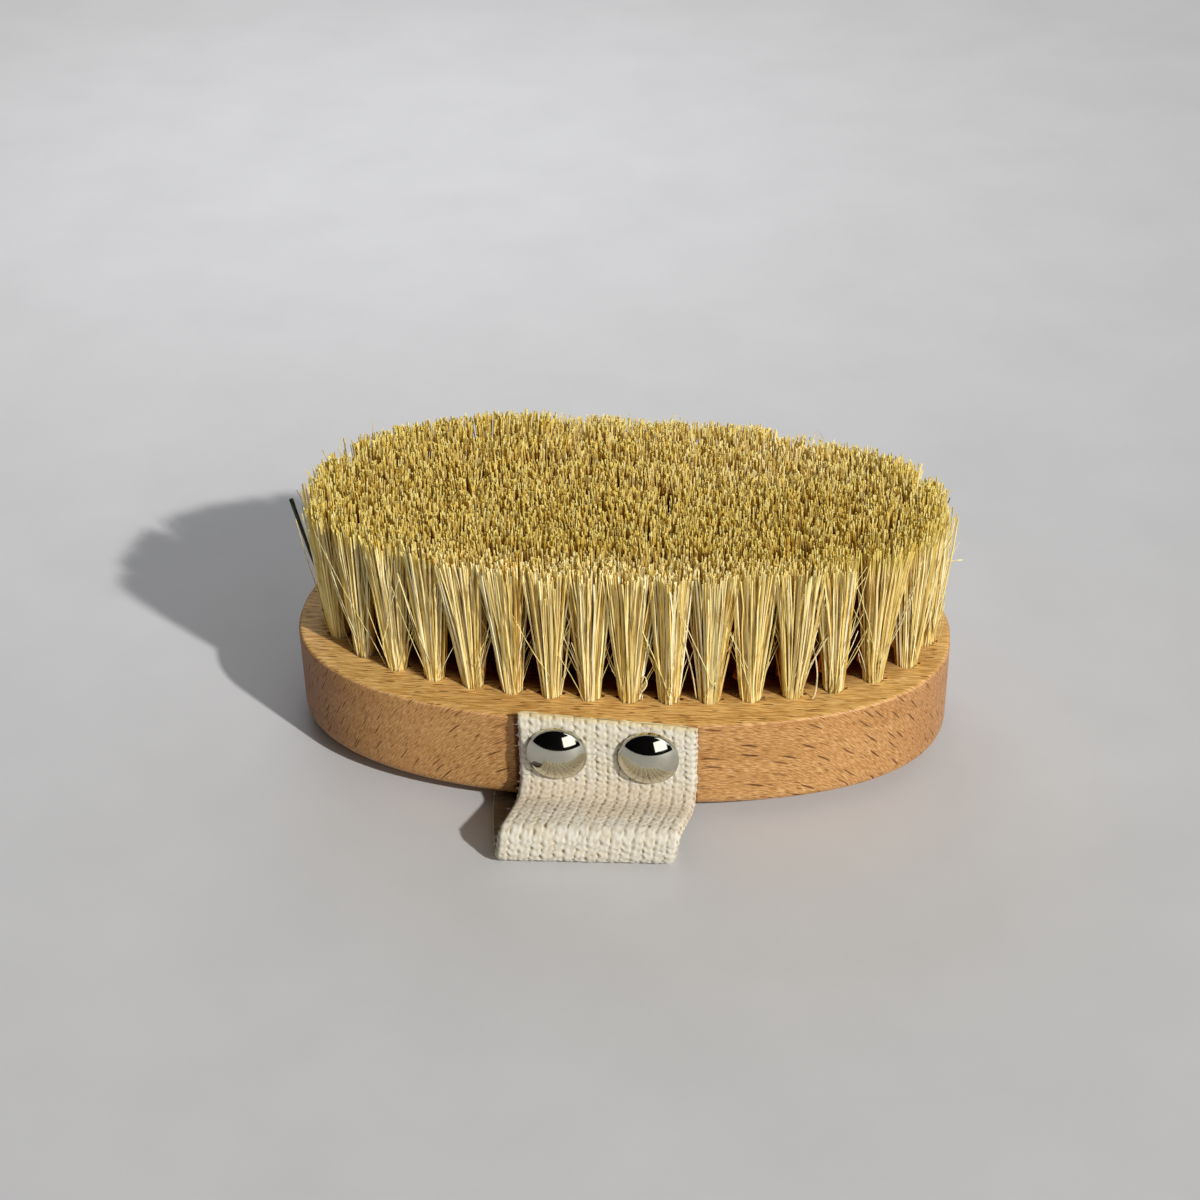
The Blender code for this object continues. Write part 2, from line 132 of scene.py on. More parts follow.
# Lengths along the strap between which the upper run of the loop gets painted shade
LOOP_SHADE_FROM = 12.0 * MM
LOOP_SHADE_TO = 25.0 * MM
FRAYED_LENGTH = 0.8 * MM
HAIRS = 900
HAIR_RADIUS = 0.022 * MM
HAIR_LENGTHS = (0.35 * MM, 1.2 * MM)
# Tones from groove (0) to crown (1) of the crown map: the dark groove end is painted shade
WEBBING_TONES = (
    (0.0, (0.19, 0.135, 0.07)), (0.35, (0.42, 0.345, 0.235)),
    (0.62, (0.68, 0.615, 0.48)), (1.0, (0.82, 0.78, 0.67)),
)
FUZZ_TONES = ((0.0, (0.66, 0.58, 0.42)), (0.6, (0.80, 0.75, 0.62)), (1.0, (0.88, 0.85, 0.76)))

# Dome nails
NAIL_SPACING = 16.6 * MM
NAIL_DROP = 5.4 * MM
DOME_RADIUS = 5.5 * MM
DOME_CROWN = 2.5 * MM
DOME_BAND = 0.4 * MM
DOME_WALL = 0.45 * MM
DOME_LIP_HOLE_RADIUS = 3.1 * MM
DOME_EDGE_ROUND = 0.22 * MM
DOME_SINK = 0.25 * MM
DOME_STEPS = 96

# Tufts
RING_LENGTH = 113.6 * MM
RING_WIDTH = 51.0 * MM
RING_SHIFT = 0.8 * MM
RING_POWER = 2.2
RING_LINE_STEPS = 720
RING_COUNTS = (35, 29, 22)
RING_PHASES = (0.43, 0.0, 0.25)
RING_STEP_X = 7.8 * MM
RING_STEP_Y = 8.5 * MM
CROWDING = 1.6 * MM
ROW_COUNT = 8
ROW_PITCH = 8.0 * MM
TUFT_HEIGHT = 29.3 * MM
SIDE_LEAN = 3.0 * MM

# Fibres
FIBRES_PER_TUFT = 172
FIBRE_RADIUS = 0.17 * MM
FIBRE_STEPS = 6
FIBRE_SIDES = 3
FIBRE_ROOT = 1.3 * MM
FOOT_RADIUS = 1.72 * MM
TIP_REACH_SIDE = 4.5 * MM
TIP_REACH_IN = 5.2 * MM
TIP_REACH_OUT = 3.7 * MM
FAR_TRIM = ((-50, 0.9), (-28, 0.9), (-12, -1.1), (20, -1.6), (36, -2.7), (46, -1.6), (56, -0.3))
NEAR_RISE = 1.2 * MM
FOOT_SCATTER = 0.04 * MM
TUFT_FAN = (0.84, 1.12)
INNER_FAN = 1.12
FAN_CURVE = (0.95, 1.35)
CLUMPS = 9
CLUMP_PULL = 0.16
TIP_SCATTER = 0.75 * MM
TUFT_SHIFT = 0.9 * MM
TUFT_SHIFT_LIMIT = 0.8 * MM
TUFT_SHIFT_OUT = 0.35 * MM
EDGE_TRIM = 1.1 * MM
TRIM_SCATTER = 0.55 * MM
TUFT_TRIM = 0.7 * MM
SHORT_SHARE = 0.08
SHORT_BY = (0.8 * MM, 5.0 * MM)
BOW = 0.34 * MM
WAVE = 0.12 * MM
THICKNESSES = (0.74, 1.26)
TIP_THINNING = 0.88
STRAYS_PER_TUFT = 15
STRAY_SLANTS = (6, 26)
STRAY_FEET = (-1.0 * MM, 5.0 * MM)
STRAY_LENGTHS = (6.0 * MM, 30.0 * MM)
STRAY_BOW = 0.9 * MM
STRAY_RADII = (0.07 * MM, 0.13 * MM)
CURL_RADIUS = 0.15 * MM
FIBRE_TONES = (
    (0.0, (0.72, 0.52, 0.15)), (0.15, (0.88, 0.71, 0.26)), (0.50, (0.96, 0.84, 0.42)),
    (0.78, (1.00, 0.93, 0.58)), (0.93, (1.00, 0.96, 0.72)), (1.0, (0.78, 0.66, 0.25)),
)
FIBRE_DRIFT = ((0.30, (0.72, 0.58, 0.30)), (0.44, (1.04, 1.0, 0.90)), (0.72, (1.18, 1.17, 1.16)))
TIP_TONE = (0.87, 0.84, 0.56)
PALE_TONE = (1.0, 0.86, 0.50)
SHADE_TONES = ((0.0, (0.21, 0.035, 0.005)), (0.5, (0.62, 0.37, 0.08)), (1.0, (1.0, 1.0, 1.0)))
STRAY_STEPS = 6
BLADE_STEPS = 12
CURLS = (
    ((6.2, -26.2, 23.6), (6.3, -26.4, 25.7), (6.7, -26.6, 26.5), (7.2, -26.6, 25.3), (6.8, -26.6, 23.9),
     (6.1, -26.8, 22.9), (6.4, -26.8, 22.0), (6.2, -26.8, 21.3)),
    ((15.2, -27.4, 44.3), (14.0, -27.4, 38.6), (13.4, -27.4, 37.0), (13.9, -27.4, 36.3), (14.4, -27.3, 37.2),
     (13.9, -27.4, 37.8), (13.5, -27.4, 36.9), (14.0, -27.0, 34.3), (15.5, -26.0, 26.5), (16.1, -25.8, 21.7)),
    ((35.2, -22.2, 21.0), (36.4, -23.2, 20.3), (37.3, -23.2, 21.4), (37.7, -22.8, 23.7), (37.5, -22.6, 28.4),
     (36.9, -22.4, 31.2), (36.4, -22.0, 33.0)),
    ((36.3, -23.0, 28.2), (37.4, -23.2, 30.5), (38.5, -23.0, 32.8), (39.7, -22.8, 35.1)),
    ((56.8, -3.0, 34.7), (58.1, -3.0, 37.6), (60.2, -3.0, 38.8), (63.4, -3.0, 39.4)),
    ((-55.6, -10.0, 45.1), (-53.1, -11.0, 41.2), (-50.4, -12.0, 37.2), (-48.1, -13.5, 33.8),
     (-45.3, -15.5, 28.2)),
    ((-50.0, -15.0, 43.0), (-48.2, -15.6, 38.5), (-46.9, -15.8, 33.2), (-45.4, -16.2, 24.6)),
)
BLADES = (
    ("green_blade", ((-64.0, 5.0, 41.8), (-63.2, 5.0, 38.1), (-61.8, 4.0, 33.8), (-60.4, 3.0, 29.4),
                     (-58.7, 2.4, 25.2), (-57.0, 2.0, 21.5)), 0.46, (0.030, 0.045, 0.018)),
    ("brown_tip", ((59.6, 6.0, 40.6), (59.9, 6.0, 43.5), (60.3, 6.0, 45.6), (60.8, 6.0, 47.2)), 0.2,
     (0.055, 0.030, 0.015)),
    ("olive_tip", ((58.6, 2.0, 36.9), (59.0, 2.0, 39.3), (59.9, 2.0, 42.2), (60.9, 2.0, 44.6)), 0.2,
     (0.20, 0.16, 0.045)),
)

# Places that follow from the sizes above
BODY_BOTTOM = STRAP_THICKNESS + SEAT_GAP
BODY_TOP = BODY_BOTTOM + BODY_HEIGHT
STRAP_SIDE_Y = BODY_WIDTH / 2 + SEAT_GAP + STRAP_THICKNESS / 2
STRAP_TOP = BODY_TOP + STRAP_TOP_RISE
STRAP_FACE_Y = STRAP_SIDE_Y + STRAP_THICKNESS / 2
NAIL_HEIGHT = BODY_TOP - NAIL_DROP
DOMES_FOOT = NAIL_HEIGHT - DOME_RADIUS
LOOP_HEIGHT = DOMES_FOOT - LOOP_DROP
TIP_TONE_RISE = (BODY_TOP + 24.0 * MM, 5.0 * MM)
TIP_TONE_DEPTH = (-32.0 * MM, 12.0 * MM)

# Camera, solved on the outline of the back in the photograph
IMAGE_SIDE = 1200
FOCAL_PIXELS = 2202.2
CAMERA_ELEVATION = math.radians(33.216)
CAMERA_DISTANCE = 433.6 * MM
CAMERA_RIGHT = 4.557 * MM
CAMERA_RISE = -19.33 * MM
CAMERA_ROLL = math.radians(-1.183)
OBJECT_YAW = math.radians(-6.746)
SENSOR_WIDTH = 36.0

# Light: the key's direction is solved from the shadow of the tufts on the floor
KEY_DIRECTION = (0.636, -0.541, 0.550)
KEY_STRENGTH = 2.85
KEY_ANGLE = math.radians(2.0)
KEY_TONE = (1.0, 0.985, 0.96)
WINDOW_DIRECTION = (0.53, -0.76, 0.42)
WINDOW_POWER = 1.7
WINDOW_SIZE = (0.62, 0.5)
BACK_PLACE = (-0.100, 0.290, 0.265)
BACK_SIZE = 0.3
BACK_POWER = 0.40
BACK_TONE = (0.90, 0.93, 1.0)
ROOM_BRIGHTNESS = 0.34
ROOM_BRIGHT_SIDE = (0.0, 0.8, 0.6)


def add_camera():
    """Camera of the photograph: rolled, tilted and turned about the middle of the underside."""
    data = bpy.data.cameras.new("camera")
    data.sensor_width = SENSOR_WIDTH
    data.lens = FOCAL_PIXELS / IMAGE_SIDE * SENSOR_WIDTH
    data.clip_start = 0.01
    camera = bpy.data.objects.new("camera", data)
    bpy.context.scene.collection.objects.link(camera)
    middle = Matrix.Translation((0, 0, BODY_BOTTOM)) @ Matrix.Rotation(-OBJECT_YAW, 4, "Z")
    tilt = Matrix.Rotation(math.pi / 2 - CAMERA_ELEVATION, 4, "X") @ Matrix.Rotation(CAMERA_ROLL, 4, "Z")
    away = Matrix.Translation((-CAMERA_RIGHT, -CAMERA_RISE, CAMERA_DISTANCE))
    camera.matrix_world = middle @ tilt @ away
    bpy.context.scene.camera = camera


def new_material(name):
    """Empty node material with its tree and the object coordinates in it."""
    material = bpy.data.materials.new(name)
    material.use_nodes = True
    tree = material.node_tree
    return material, tree, source(tree, "TexCoord", "Object")


def with_looks(material, looks):
    """Material with the looks given to its Principled shader."""
    plug(material.node_tree.nodes["Principled BSDF"], looks)
    return material


def plug(made, inputs):
    """Give a node its inputs, each as a value or as a socket to link."""
    for key, value in inputs.items():
        if isinstance(value, bpy.types.NodeSocket):
            made.id_data.links.new(value, made.inputs[key])
        else:
            made.inputs[key].default_value = value


def node(kind, inputs, tree=None, **settings):
    """Shader node with its settings and inputs, in the tree of the sockets that it is linked to."""
    tree = tree or next(value.id_data for value in inputs.values() if isinstance(value, bpy.types.NodeSocket))
    made = tree.nodes.new("ShaderNode" + kind)
    for key, value in settings.items():
        setattr(made, key, value)
    plug(made, inputs)
    return made


def source(tree, kind, output, **settings):
    """Output of a shader node that needs no input."""
    return node(kind, {}, tree, **settings).outputs[output]


def maths(operation, first, second=0.0, third=0.0):
    """Result of a Math node."""
    return node("Math", {0: first, 1: second, 2: third}, operation=operation).outputs[0]


def product(first, second):
    """First value times the second."""
    return maths("MULTIPLY", first, second)


def line_of(value, slope, start):
    """Value times a slope, plus a start."""
    return maths("MULTIPLY_ADD", value, slope, start)


def share(value, start, span):
    """How far a value is past a start, in spans."""
    return maths("DIVIDE", maths("SUBTRACT", value, start), span)


def ramp(factor, stops):
    """Colour ramp through stops of (position, linear colour)."""
    made = node("ValToRGB", {0: factor})
    elements = made.color_ramp.elements
    while len(elements) < len(stops):
        elements.new(1.0)
    for element, (position, colour) in zip(elements, stops):
        element.position = position
        element.color = (*colour, 1.0)
    return made.outputs[0]


def grey_ramp(factor, *stops):
    """Ramp through stops of (position, grey)."""
    return ramp(factor, [(position, (grey,) * 3) for position, grey in stops])


def mix(factor, first, second, blend="MIX"):
    """Mix of two colours."""
    inputs = {0: factor, 6: first, 7: second}
    return node("Mix", inputs, data_type="RGBA", blend_type=blend).outputs[2]


def tint(tone, colour, mask=1.0):
    """Tone multiplied by a colour as far as the mask says."""
    if isinstance(colour, tuple):
        colour = (*colour, 1.0)
    return mix(mask, tone, colour, "MULTIPLY")


def parts(vector):
    """The three parts of a vector."""
    return node("SeparateXYZ", {0: vector}).outputs


def scaled(vector, *sizes):
    """Vector with each part divided by its own size in millimetres."""
    sizes = [size * MM for size in sizes]
    return node("VectorMath", {0: vector, 1: sizes}, operation="DIVIDE").outputs[0]


def noise_of(vector, detail=3.0, roughness=0.55):
    """Noise from 0 to 1."""
    inputs = {"Vector": vector, "Scale": 1.0, "Detail": detail, "Roughness": roughness}
    return node("TexNoise", inputs).outputs[0]


def bent_normal(height, strength, depth):
    """Normal bent by a height, with its depth in millimetres."""
    inputs = {"Height": height, "Strength": strength, "Distance": depth * MM}
    return node("Bump", inputs).outputs[0]


def flecks(vector, layers):
    """Mask of separate lens-shaped flecks, which each layer has in some cells of a flat Voronoi pattern."""
    mask = 0.0
    for (length, width), (first, last), chances in layers:
        inputs = {"Vector": scaled(vector, length, width, 1), "Scale": 1.0}
        cell = node("TexVoronoi", inputs, voronoi_dimensions="2D")
        inside = grey_ramp(cell.outputs["Distance"], (first, 1.0), (last, 0.0))
        own = node("SeparateColor", {0: cell.outputs["Color"]}).outputs[0]
        mask = maths("MAXIMUM", mask, product(inside, grey_ramp(own, *chances)))
    return mask


def beech_material():
    """Beech with the grain along X: growth rings, fine texture, and the dark flecks of its rays.

    On the sides the flecks follow the "grain" map, which leans over as the sides curve round. They run
    along the top. The end grain is darker, and the -X end darker still with painted shade, as it faces away
    from the key. The wood among the tufts is darker with painted shade, and the side beside the strap,
    most of all at its left edge, with the strap's painted shadow.
    """
    material, tree, place = new_material("beech_grain")
    along_grain = source(tree, "Attribute", "Vector", attribute_name="grain")
    x, y, _ = parts(place)
    endwise, _, up = parts(source(tree, "NewGeometry", "Normal"))
    on_top = grey_ramp(up, (0.45, 0.0), (0.9, 1.0))
    on_side = maths("SUBTRACT", 1.0, on_top)

    bands = noise_of(scaled(place, 90, 9, 3.4), 2.0)
    patches = noise_of(scaled(place, 26, 12, 7), 2.0)
    side_texture = noise_of(scaled(along_grain, 1.6, 0.20, 1), 3.0, 0.62)
    top_texture = noise_of(scaled(place, 3.2, 0.18, 9), 3.0, 0.62)
    texture = mix(on_top, side_texture, top_texture)
    side_mask = product(flecks(along_grain, SIDE_FLECKS), grey_ramp(patches, (0.36, 0.6), (0.50, 1.0)))
    mask = line_of(side_mask, on_side, product(flecks(place, TOP_FLECKS), on_top))

    tone = mix(0.5, ramp(bands, BEECH_BANDS), ramp(patches, BEECH_PATCHES))
    tone = tint(tone, ramp(texture, BEECH_TEXTURE), 0.7)
    tone = tint(tone, BEECH_TOP, on_top)
    # Painted highlight along the rounded top edge, by the slope of the normal
    tone = tint(tone, BEECH_EDGE_HIGHLIGHT, grey_ramp(up, (0.15, 0.0), (0.45, 1.0), (0.80, 0.0)))
    tone = mix(product(mask, 0.92), tone, FLECK_TONE)
    # End grain darkened, and the -X end further with painted shade
    for hand, darker in BEECH_END_GRAIN_AND_SHADE:
        tone = tint(tone, darker, grey_ramp(product(endwise, hand), (0.35, 0.0), (0.85, 1.0)))
    # Painted shade on the top of the back among the tufts, inside the outer ring
    reach = 0.0
    for offset in (share(x, RING_SHIFT, RING_LENGTH / 2), share(y, 0.0, RING_WIDTH / 2)):
        reach = maths("ADD", reach, maths("POWER", maths("ABSOLUTE", offset), RING_POWER))
    tone = tint(tone, AMONG_TUFTS_SHADE, product(grey_ramp(reach, (0.80, 1.0), (0.99, 0.0)), on_top))
    # Painted shadow of the strap on the sides of the back, reaching past its left edge
    from_strap = maths("ABSOLUTE", maths("SUBTRACT", x, STRAP_NEAR_X - STRAP_SHADOW_WIDTH / 2))
    beside = grey_ramp(share(from_strap, STRAP_WIDTH / 2, STRAP_SHADOW_WIDTH), (0.35, 1.0), (0.75, 0.0))
    tone = tint(tone, STRAP_SHADOW_TINT, product(beside, on_side))

    looks = {
        "Base Color": tone,
        "Roughness": line_of(mask, 0.2, line_of(texture, 0.16, 0.36)),
        "Specular IOR Level": 0.22,
        "Normal": bent_normal(maths("SUBTRACT", product(texture, 0.7), mask), 0.55, 0.08),
    }
    return with_looks(material, looks)


def fibre_material():
    """Straw-coloured plant fibre: each fibre has its own tone, and tones drift along it.

    The "shade" map paints shade on the fibres down among the tufts and inside each tuft. Behind the
    front row the tips are yellower and a little darker too: partly their own tone, partly painted shade.
    """
    material, tree, place = new_material("plant_fibre")
    tone = ramp(source(tree, "NewGeometry", "Random Per Island"), FIBRE_TONES)
    tone = tint(tone, ramp(noise_of(scaled(place, 1.1, 1.1, 7)), FIBRE_DRIFT))
    _, y, height = parts(place)
    # Tips behind the front row tinted yellower and darker: partly their own tone, partly painted shade
    at_tip = grey_ramp(share(height, *TIP_TONE_RISE), (0.2, 0.0), (0.8, 1.0))
    past_front = grey_ramp(share(y, *TIP_TONE_DEPTH), (0.1, 0.0), (0.9, 1.0))
    tone = tint(tone, TIP_TONE, product(at_tip, past_front))
    # Painted shade from the "shade" map, deep red-brown where least light reaches
    tone = tint(tone, ramp(source(tree, "Attribute", "Fac", attribute_name="shade"), SHADE_TONES))
    streaks = noise_of(scaled(place, 0.09, 0.09, 1.5), 2.0)
    looks = {
        "Base Color": tone,
        "Roughness": line_of(streaks, 0.2, 0.36),
        "Specular IOR Level": 0.02,
        "Normal": bent_normal(streaks, 0.2, 0.04),
    }
    return with_looks(material, looks)


def tinted_fibre_material(name, tone):
    """One stray fibre's own colour, mottled along its length."""
    material, _, place = new_material(name)
    shade = grey_ramp(noise_of(scaled(place, 0.5, 0.5, 2)), (0.3, 0.6), (0.7, 1.25))
    return with_looks(material, {"Base Color": tint((*tone, 1.0), shade), "Roughness": 0.45})


def webbing_material():
    """Natural cotton: pale crowns, grooves darkened with painted shade, and the fuzz of spun yarn.

    It has painted shade along the upper side of the loop, and is yellower at its cut ends.
    """
    material, tree, place = new_material("cotton_webbing")
    yarn = noise_of(scaled(place, 0.16, 0.16, 0.16), 3.0, 0.6)
    patches = noise_of(scaled(place, 5, 5, 5), 2.0)
    maps = ("crown", "loop_shade", "frayed")
    crown, loop_shade, frayed = (source(tree, "Attribute", "Fac", attribute_name=name) for name in maps)
    # Tone by the crown map: darker down in the grooves with painted shade
    tone = tint(ramp(crown, WEBBING_TONES), grey_ramp(yarn, (0.25, 0.76), (0.5, 1.0), (0.75, 1.1)))
    tone = tint(tone, ramp(patches, ((0.35, (1.0, 0.97, 0.90)), (0.65, (1.0, 1.0, 1.0)))))
    # Painted shade along the upper run of the loop, where it bends out from the side
    tone = tint(tone, (0.88, 0.82, 0.77), loop_shade)
    tone = tint(tone, (1.0, 0.90, 0.62), frayed)
    looks = {
        "Base Color": tone,
        "Roughness": line_of(yarn, 0.2, 0.78),
        "Sheen Weight": 0.25,
        "Normal": bent_normal(yarn, 0.6, 0.08),
    }
    return with_looks(material, looks)


def fuzz_material():
    """Loose cotton hairs, each with its own shade."""
    material, tree, _ = new_material("cotton_fuzz")
    tone = ramp(source(tree, "NewGeometry", "Random Per Island"), FUZZ_TONES)
    return with_looks(material, {"Base Color": tone, "Roughness": 0.8})


def chrome_material():
    """Bright nickel-chrome with faint smudges and hairline scratches."""
    material, _, place = new_material("bright_chrome")
    smudge = noise_of(scaled(place, 2.2, 2.2, 2.2))
    scratch = noise_of(scaled(place, 0.08, 0.9, 0.5), 1.0)
    rough = line_of(grey_ramp(smudge, (0.4, 0.0), (0.8, 1.0)), 0.06, 0.03)
    looks = {
        "Base Color": ramp(smudge, ((0.3, (0.56, 0.54, 0.45)), (0.7, (0.63, 0.615, 0.52)))),
        "Metallic": 1.0,
        "Roughness": line_of(scratch, 0.03, rough),
        "Normal": bent_normal(smudge, 0.06, 0.05),
    }
    return with_looks(material, looks)


def steel_material():
    """Plain drawn steel of the tacks."""
    material, _, place = new_material("drawn_steel")
    drawn = noise_of(scaled(place, 0.1, 2, 0.1))
    tone = ramp(drawn, ((0.3, (0.42, 0.42, 0.43)), (0.7, (0.62, 0.62, 0.63))))
    return with_looks(material, {"Base Color": tone, "Metallic": 1.0, "Roughness": line_of(drawn, 0.2, 0.25)})


def floor_material():
    """Pale matt paper with a very faint mottling."""
    material, _, place = new_material("pale_paper")
    mottle = noise_of(scaled(place, 30, 30, 30), 4.0)
    tone = ramp(mottle, ((0.3, (0.60, 0.598, 0.602)), (0.7, (0.635, 0.633, 0.637))))
    return with_looks(material, {"Base Color": tone, "Roughness": 0.7})


def add_layer(mesh, name, values, kind="FLOAT", domain="POINT"):
    """Map of a mesh, which its material reads."""
    key = "value" if kind == "FLOAT" else "vector"
    flat = np.asarray(values, dtype=np.float32).ravel()
    mesh.attributes.new(name, kind, domain).data.foreach_set(key, flat)


def add_piece(name, mesh, material):
    """Piece of the brush that rides on its one body and takes its finish from a slot."""
    piece = bpy.data.objects.new(name, mesh)
    bpy.context.scene.collection.objects.link(piece)
    mesh.materials.append(material)
    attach(piece, "root")
    return piece


def mesh_from_arrays(name, points, faces):
    """Smooth mesh from an array of points and a list of arrays of equal-sided faces."""
    mesh = bpy.data.meshes.new(name)
    corners = np.concatenate([part.ravel() for part in faces]).astype(np.int32)
    sides = np.concatenate([np.full(len(part), part.shape[1]) for part in faces]).astype(np.int32)
    starts = np.concatenate([[0], np.cumsum(sides)[:-1]]).astype(np.int32)
    mesh.vertices.add(len(points))
    mesh.vertices.foreach_set("co", np.asarray(points, dtype=np.float32).ravel())
    mesh.loops.add(len(corners))
    mesh.loops.foreach_set("vertex_index", corners)
    mesh.polygons.add(len(sides))
    mesh.polygons.foreach_set("loop_start", starts)
    mesh.update(calc_edges=True)
    mesh.validate()
    mesh.shade_smooth()
    return mesh


def unit(vectors):
    """Vectors scaled to length one."""
    return vectors / np.maximum(np.linalg.norm(vectors, axis=-1, keepdims=True), 1e-12)


def circle(angles):
    """Points of a unit circle."""
    return np.stack([np.cos(angles), np.sin(angles)], axis=-1)


def signed_power(values, power):
    """Power of the size of values, with their sign."""
    return np.sign(values) * np.abs(values) ** power


def lengths_along(points):
    """Length of a line of points up to each of them."""
    return np.concatenate([[0.0], np.cumsum(np.linalg.norm(np.diff(points, axis=0), axis=1))])


def tube_mesh(name, paths, radii, sides, chance):
    """Closed tubes along paths of shape (tubes, steps, 3), with a radius at each step.

    Each tube has its own cell of the map for baking.
    """
    count, steps, _ = paths.shape
    tangents = unit(np.gradient(paths, axis=1))
    angle = chance.uniform(0.0, 2 * np.pi, count)
    aside = np.pad(circle(angle), ((0, 0), (0, 1)))[:, None, :]
    across = unit(aside - tangents * (aside * tangents).sum(-1, keepdims=True))
    over = np.cross(tangents, across)
    turns = 2 * np.pi * np.arange(sides) / sides
    ring = np.cos(turns)[:, None] * across[:, :, None, :] + np.sin(turns)[:, None] * over[:, :, None, :]
    points = paths[:, :, None, :] + radii[:, :, None, None] * ring
    index = np.arange(count * steps * sides).reshape(count, steps, sides)
    turned = np.roll(index, -1, axis=2)
    walls = np.stack([index[:, :-1], turned[:, :-1], turned[:, 1:], index[:, 1:]], axis=-1).reshape(-1, 4)
    mesh = mesh_from_arrays(name, points.reshape(-1, 3), [walls, index[:, 0, ::-1], index[:, -1]])

    cells = math.ceil(math.sqrt(count))
    corner = np.stack(np.divmod(np.arange(count), cells)[::-1], axis=-1) / cells
    u = np.arange(sides)[None, :, None] / sides + np.array([0, 1, 1, 0]) / sides
    v = np.arange(steps - 1)[:, None, None] / (steps - 1) + np.array([0, 0, 1, 1]) / (steps - 1)
    wall_map = 0.05 + np.stack(np.broadcast_arrays(u, v), axis=-1) * (0.9, 0.75)
    cap = 0.07 * circle(turns)
    maps = (wall_map.reshape(-1, 2), np.array([0.25, 0.9]) + cap[::-1], np.array([0.75, 0.9]) + cap)
    flat = np.concatenate([(corner[:, None] + part / cells).ravel() for part in maps])
    mesh.uv_layers.new(name="OFBake").uv.foreach_set("vector", flat.astype(np.float32))
    return mesh


def oval(half_length, half_width, power, count):
    """Points of a superellipse, counted from +X towards +Y."""
    return signed_power(circle(2 * np.pi * np.arange(count) / count), 2 / power) * (half_length, half_width)


def oval_normals(points, half_length, half_width, power):
    """Outward direction at points of a superellipse."""
    halves = np.array([half_length, half_width])
    return unit(signed_power(points / halves, power - 1) / halves)


def ring_feet(ring):
    """Places and outward directions of a ring's tufts, spaced as in the solids."""
    half_length = RING_LENGTH / 2 - ring * RING_STEP_X
    half_width = RING_WIDTH / 2 - ring * RING_STEP_Y
    line = np.roll(oval(half_length, half_width, RING_POWER, RING_LINE_STEPS), RING_LINE_STEPS // 4, axis=0)
    line = np.concatenate([line, line[:1]])
    lengths = lengths_along(line)
    around = lengths[-1]
    even = around * (np.arange(RING_COUNTS[ring]) + RING_PHASES[ring]) / RING_COUNTS[ring]
    place = (even - CROWDING * np.sin(4 * np.pi * even / around)) % around
    spots = np.stack([np.interp(place, lengths, line[:, k]) for k in (0, 1)], axis=-1)
    out = oval_normals(spots, half_length, half_width, RING_POWER)
    return spots + np.array([RING_SHIFT, 0.0]), out


def row_feet():
    """Places and directions of the straight middle row."""
    x = RING_SHIFT + ROW_PITCH * (np.arange(ROW_COUNT) - (ROW_COUNT - 1) / 2)
    spots = np.stack([x, np.zeros(ROW_COUNT)], axis=-1)
    return spots, np.tile([0.0, 1.0], (ROW_COUNT, 1))


def hole_outline(spot, grow):
    """Outline of one tuft hole with the anchor's slit on both sides of it, widened by grow."""
    half = SLIT_WIDTH / 2 + grow
    radius = HOLE_RADIUS + grow
    opening = math.asin(half / radius)
    middle = np.array([HOLE_RADIUS + SLIT_REACH + grow - half, 0.0])
    slit = middle + half * circle(np.linspace(-math.pi / 2, math.pi / 2, 5))
    arc = radius * circle(np.linspace(opening, math.pi - opening, HOLE_STEPS // 2 + 1))
    return np.concatenate([slit, arc, -slit, -arc]) + spot


def filled_face(outlines, height):
    """Flat mesh between an outline and the holes in it."""
    curve = bpy.data.curves.new("face_outline", "CURVE")
    curve.dimensions = "2D"
    curve.fill_mode = "FRONT"
    for outline in outlines:
        spline = curve.splines.new("POLY")
        spline.points.add(len(outline) - 1)
        flat = np.zeros((len(outline), 4))
        flat[:, :2] = outline
        flat[:, 3] = 1.0
        spline.points.foreach_set("co", flat.ravel())
        spline.use_cyclic_u = True
    guide = bpy.data.objects.new("face_outline", curve)
    bpy.context.scene.collection.objects.link(guide)
    mesh = bpy.data.meshes.new_from_object(guide.evaluated_get(bpy.context.evaluated_depsgraph_get()))
    mesh.transform(Matrix.Translation((0, 0, height)))
    bpy.data.objects.remove(guide, do_unlink=True)
    return mesh


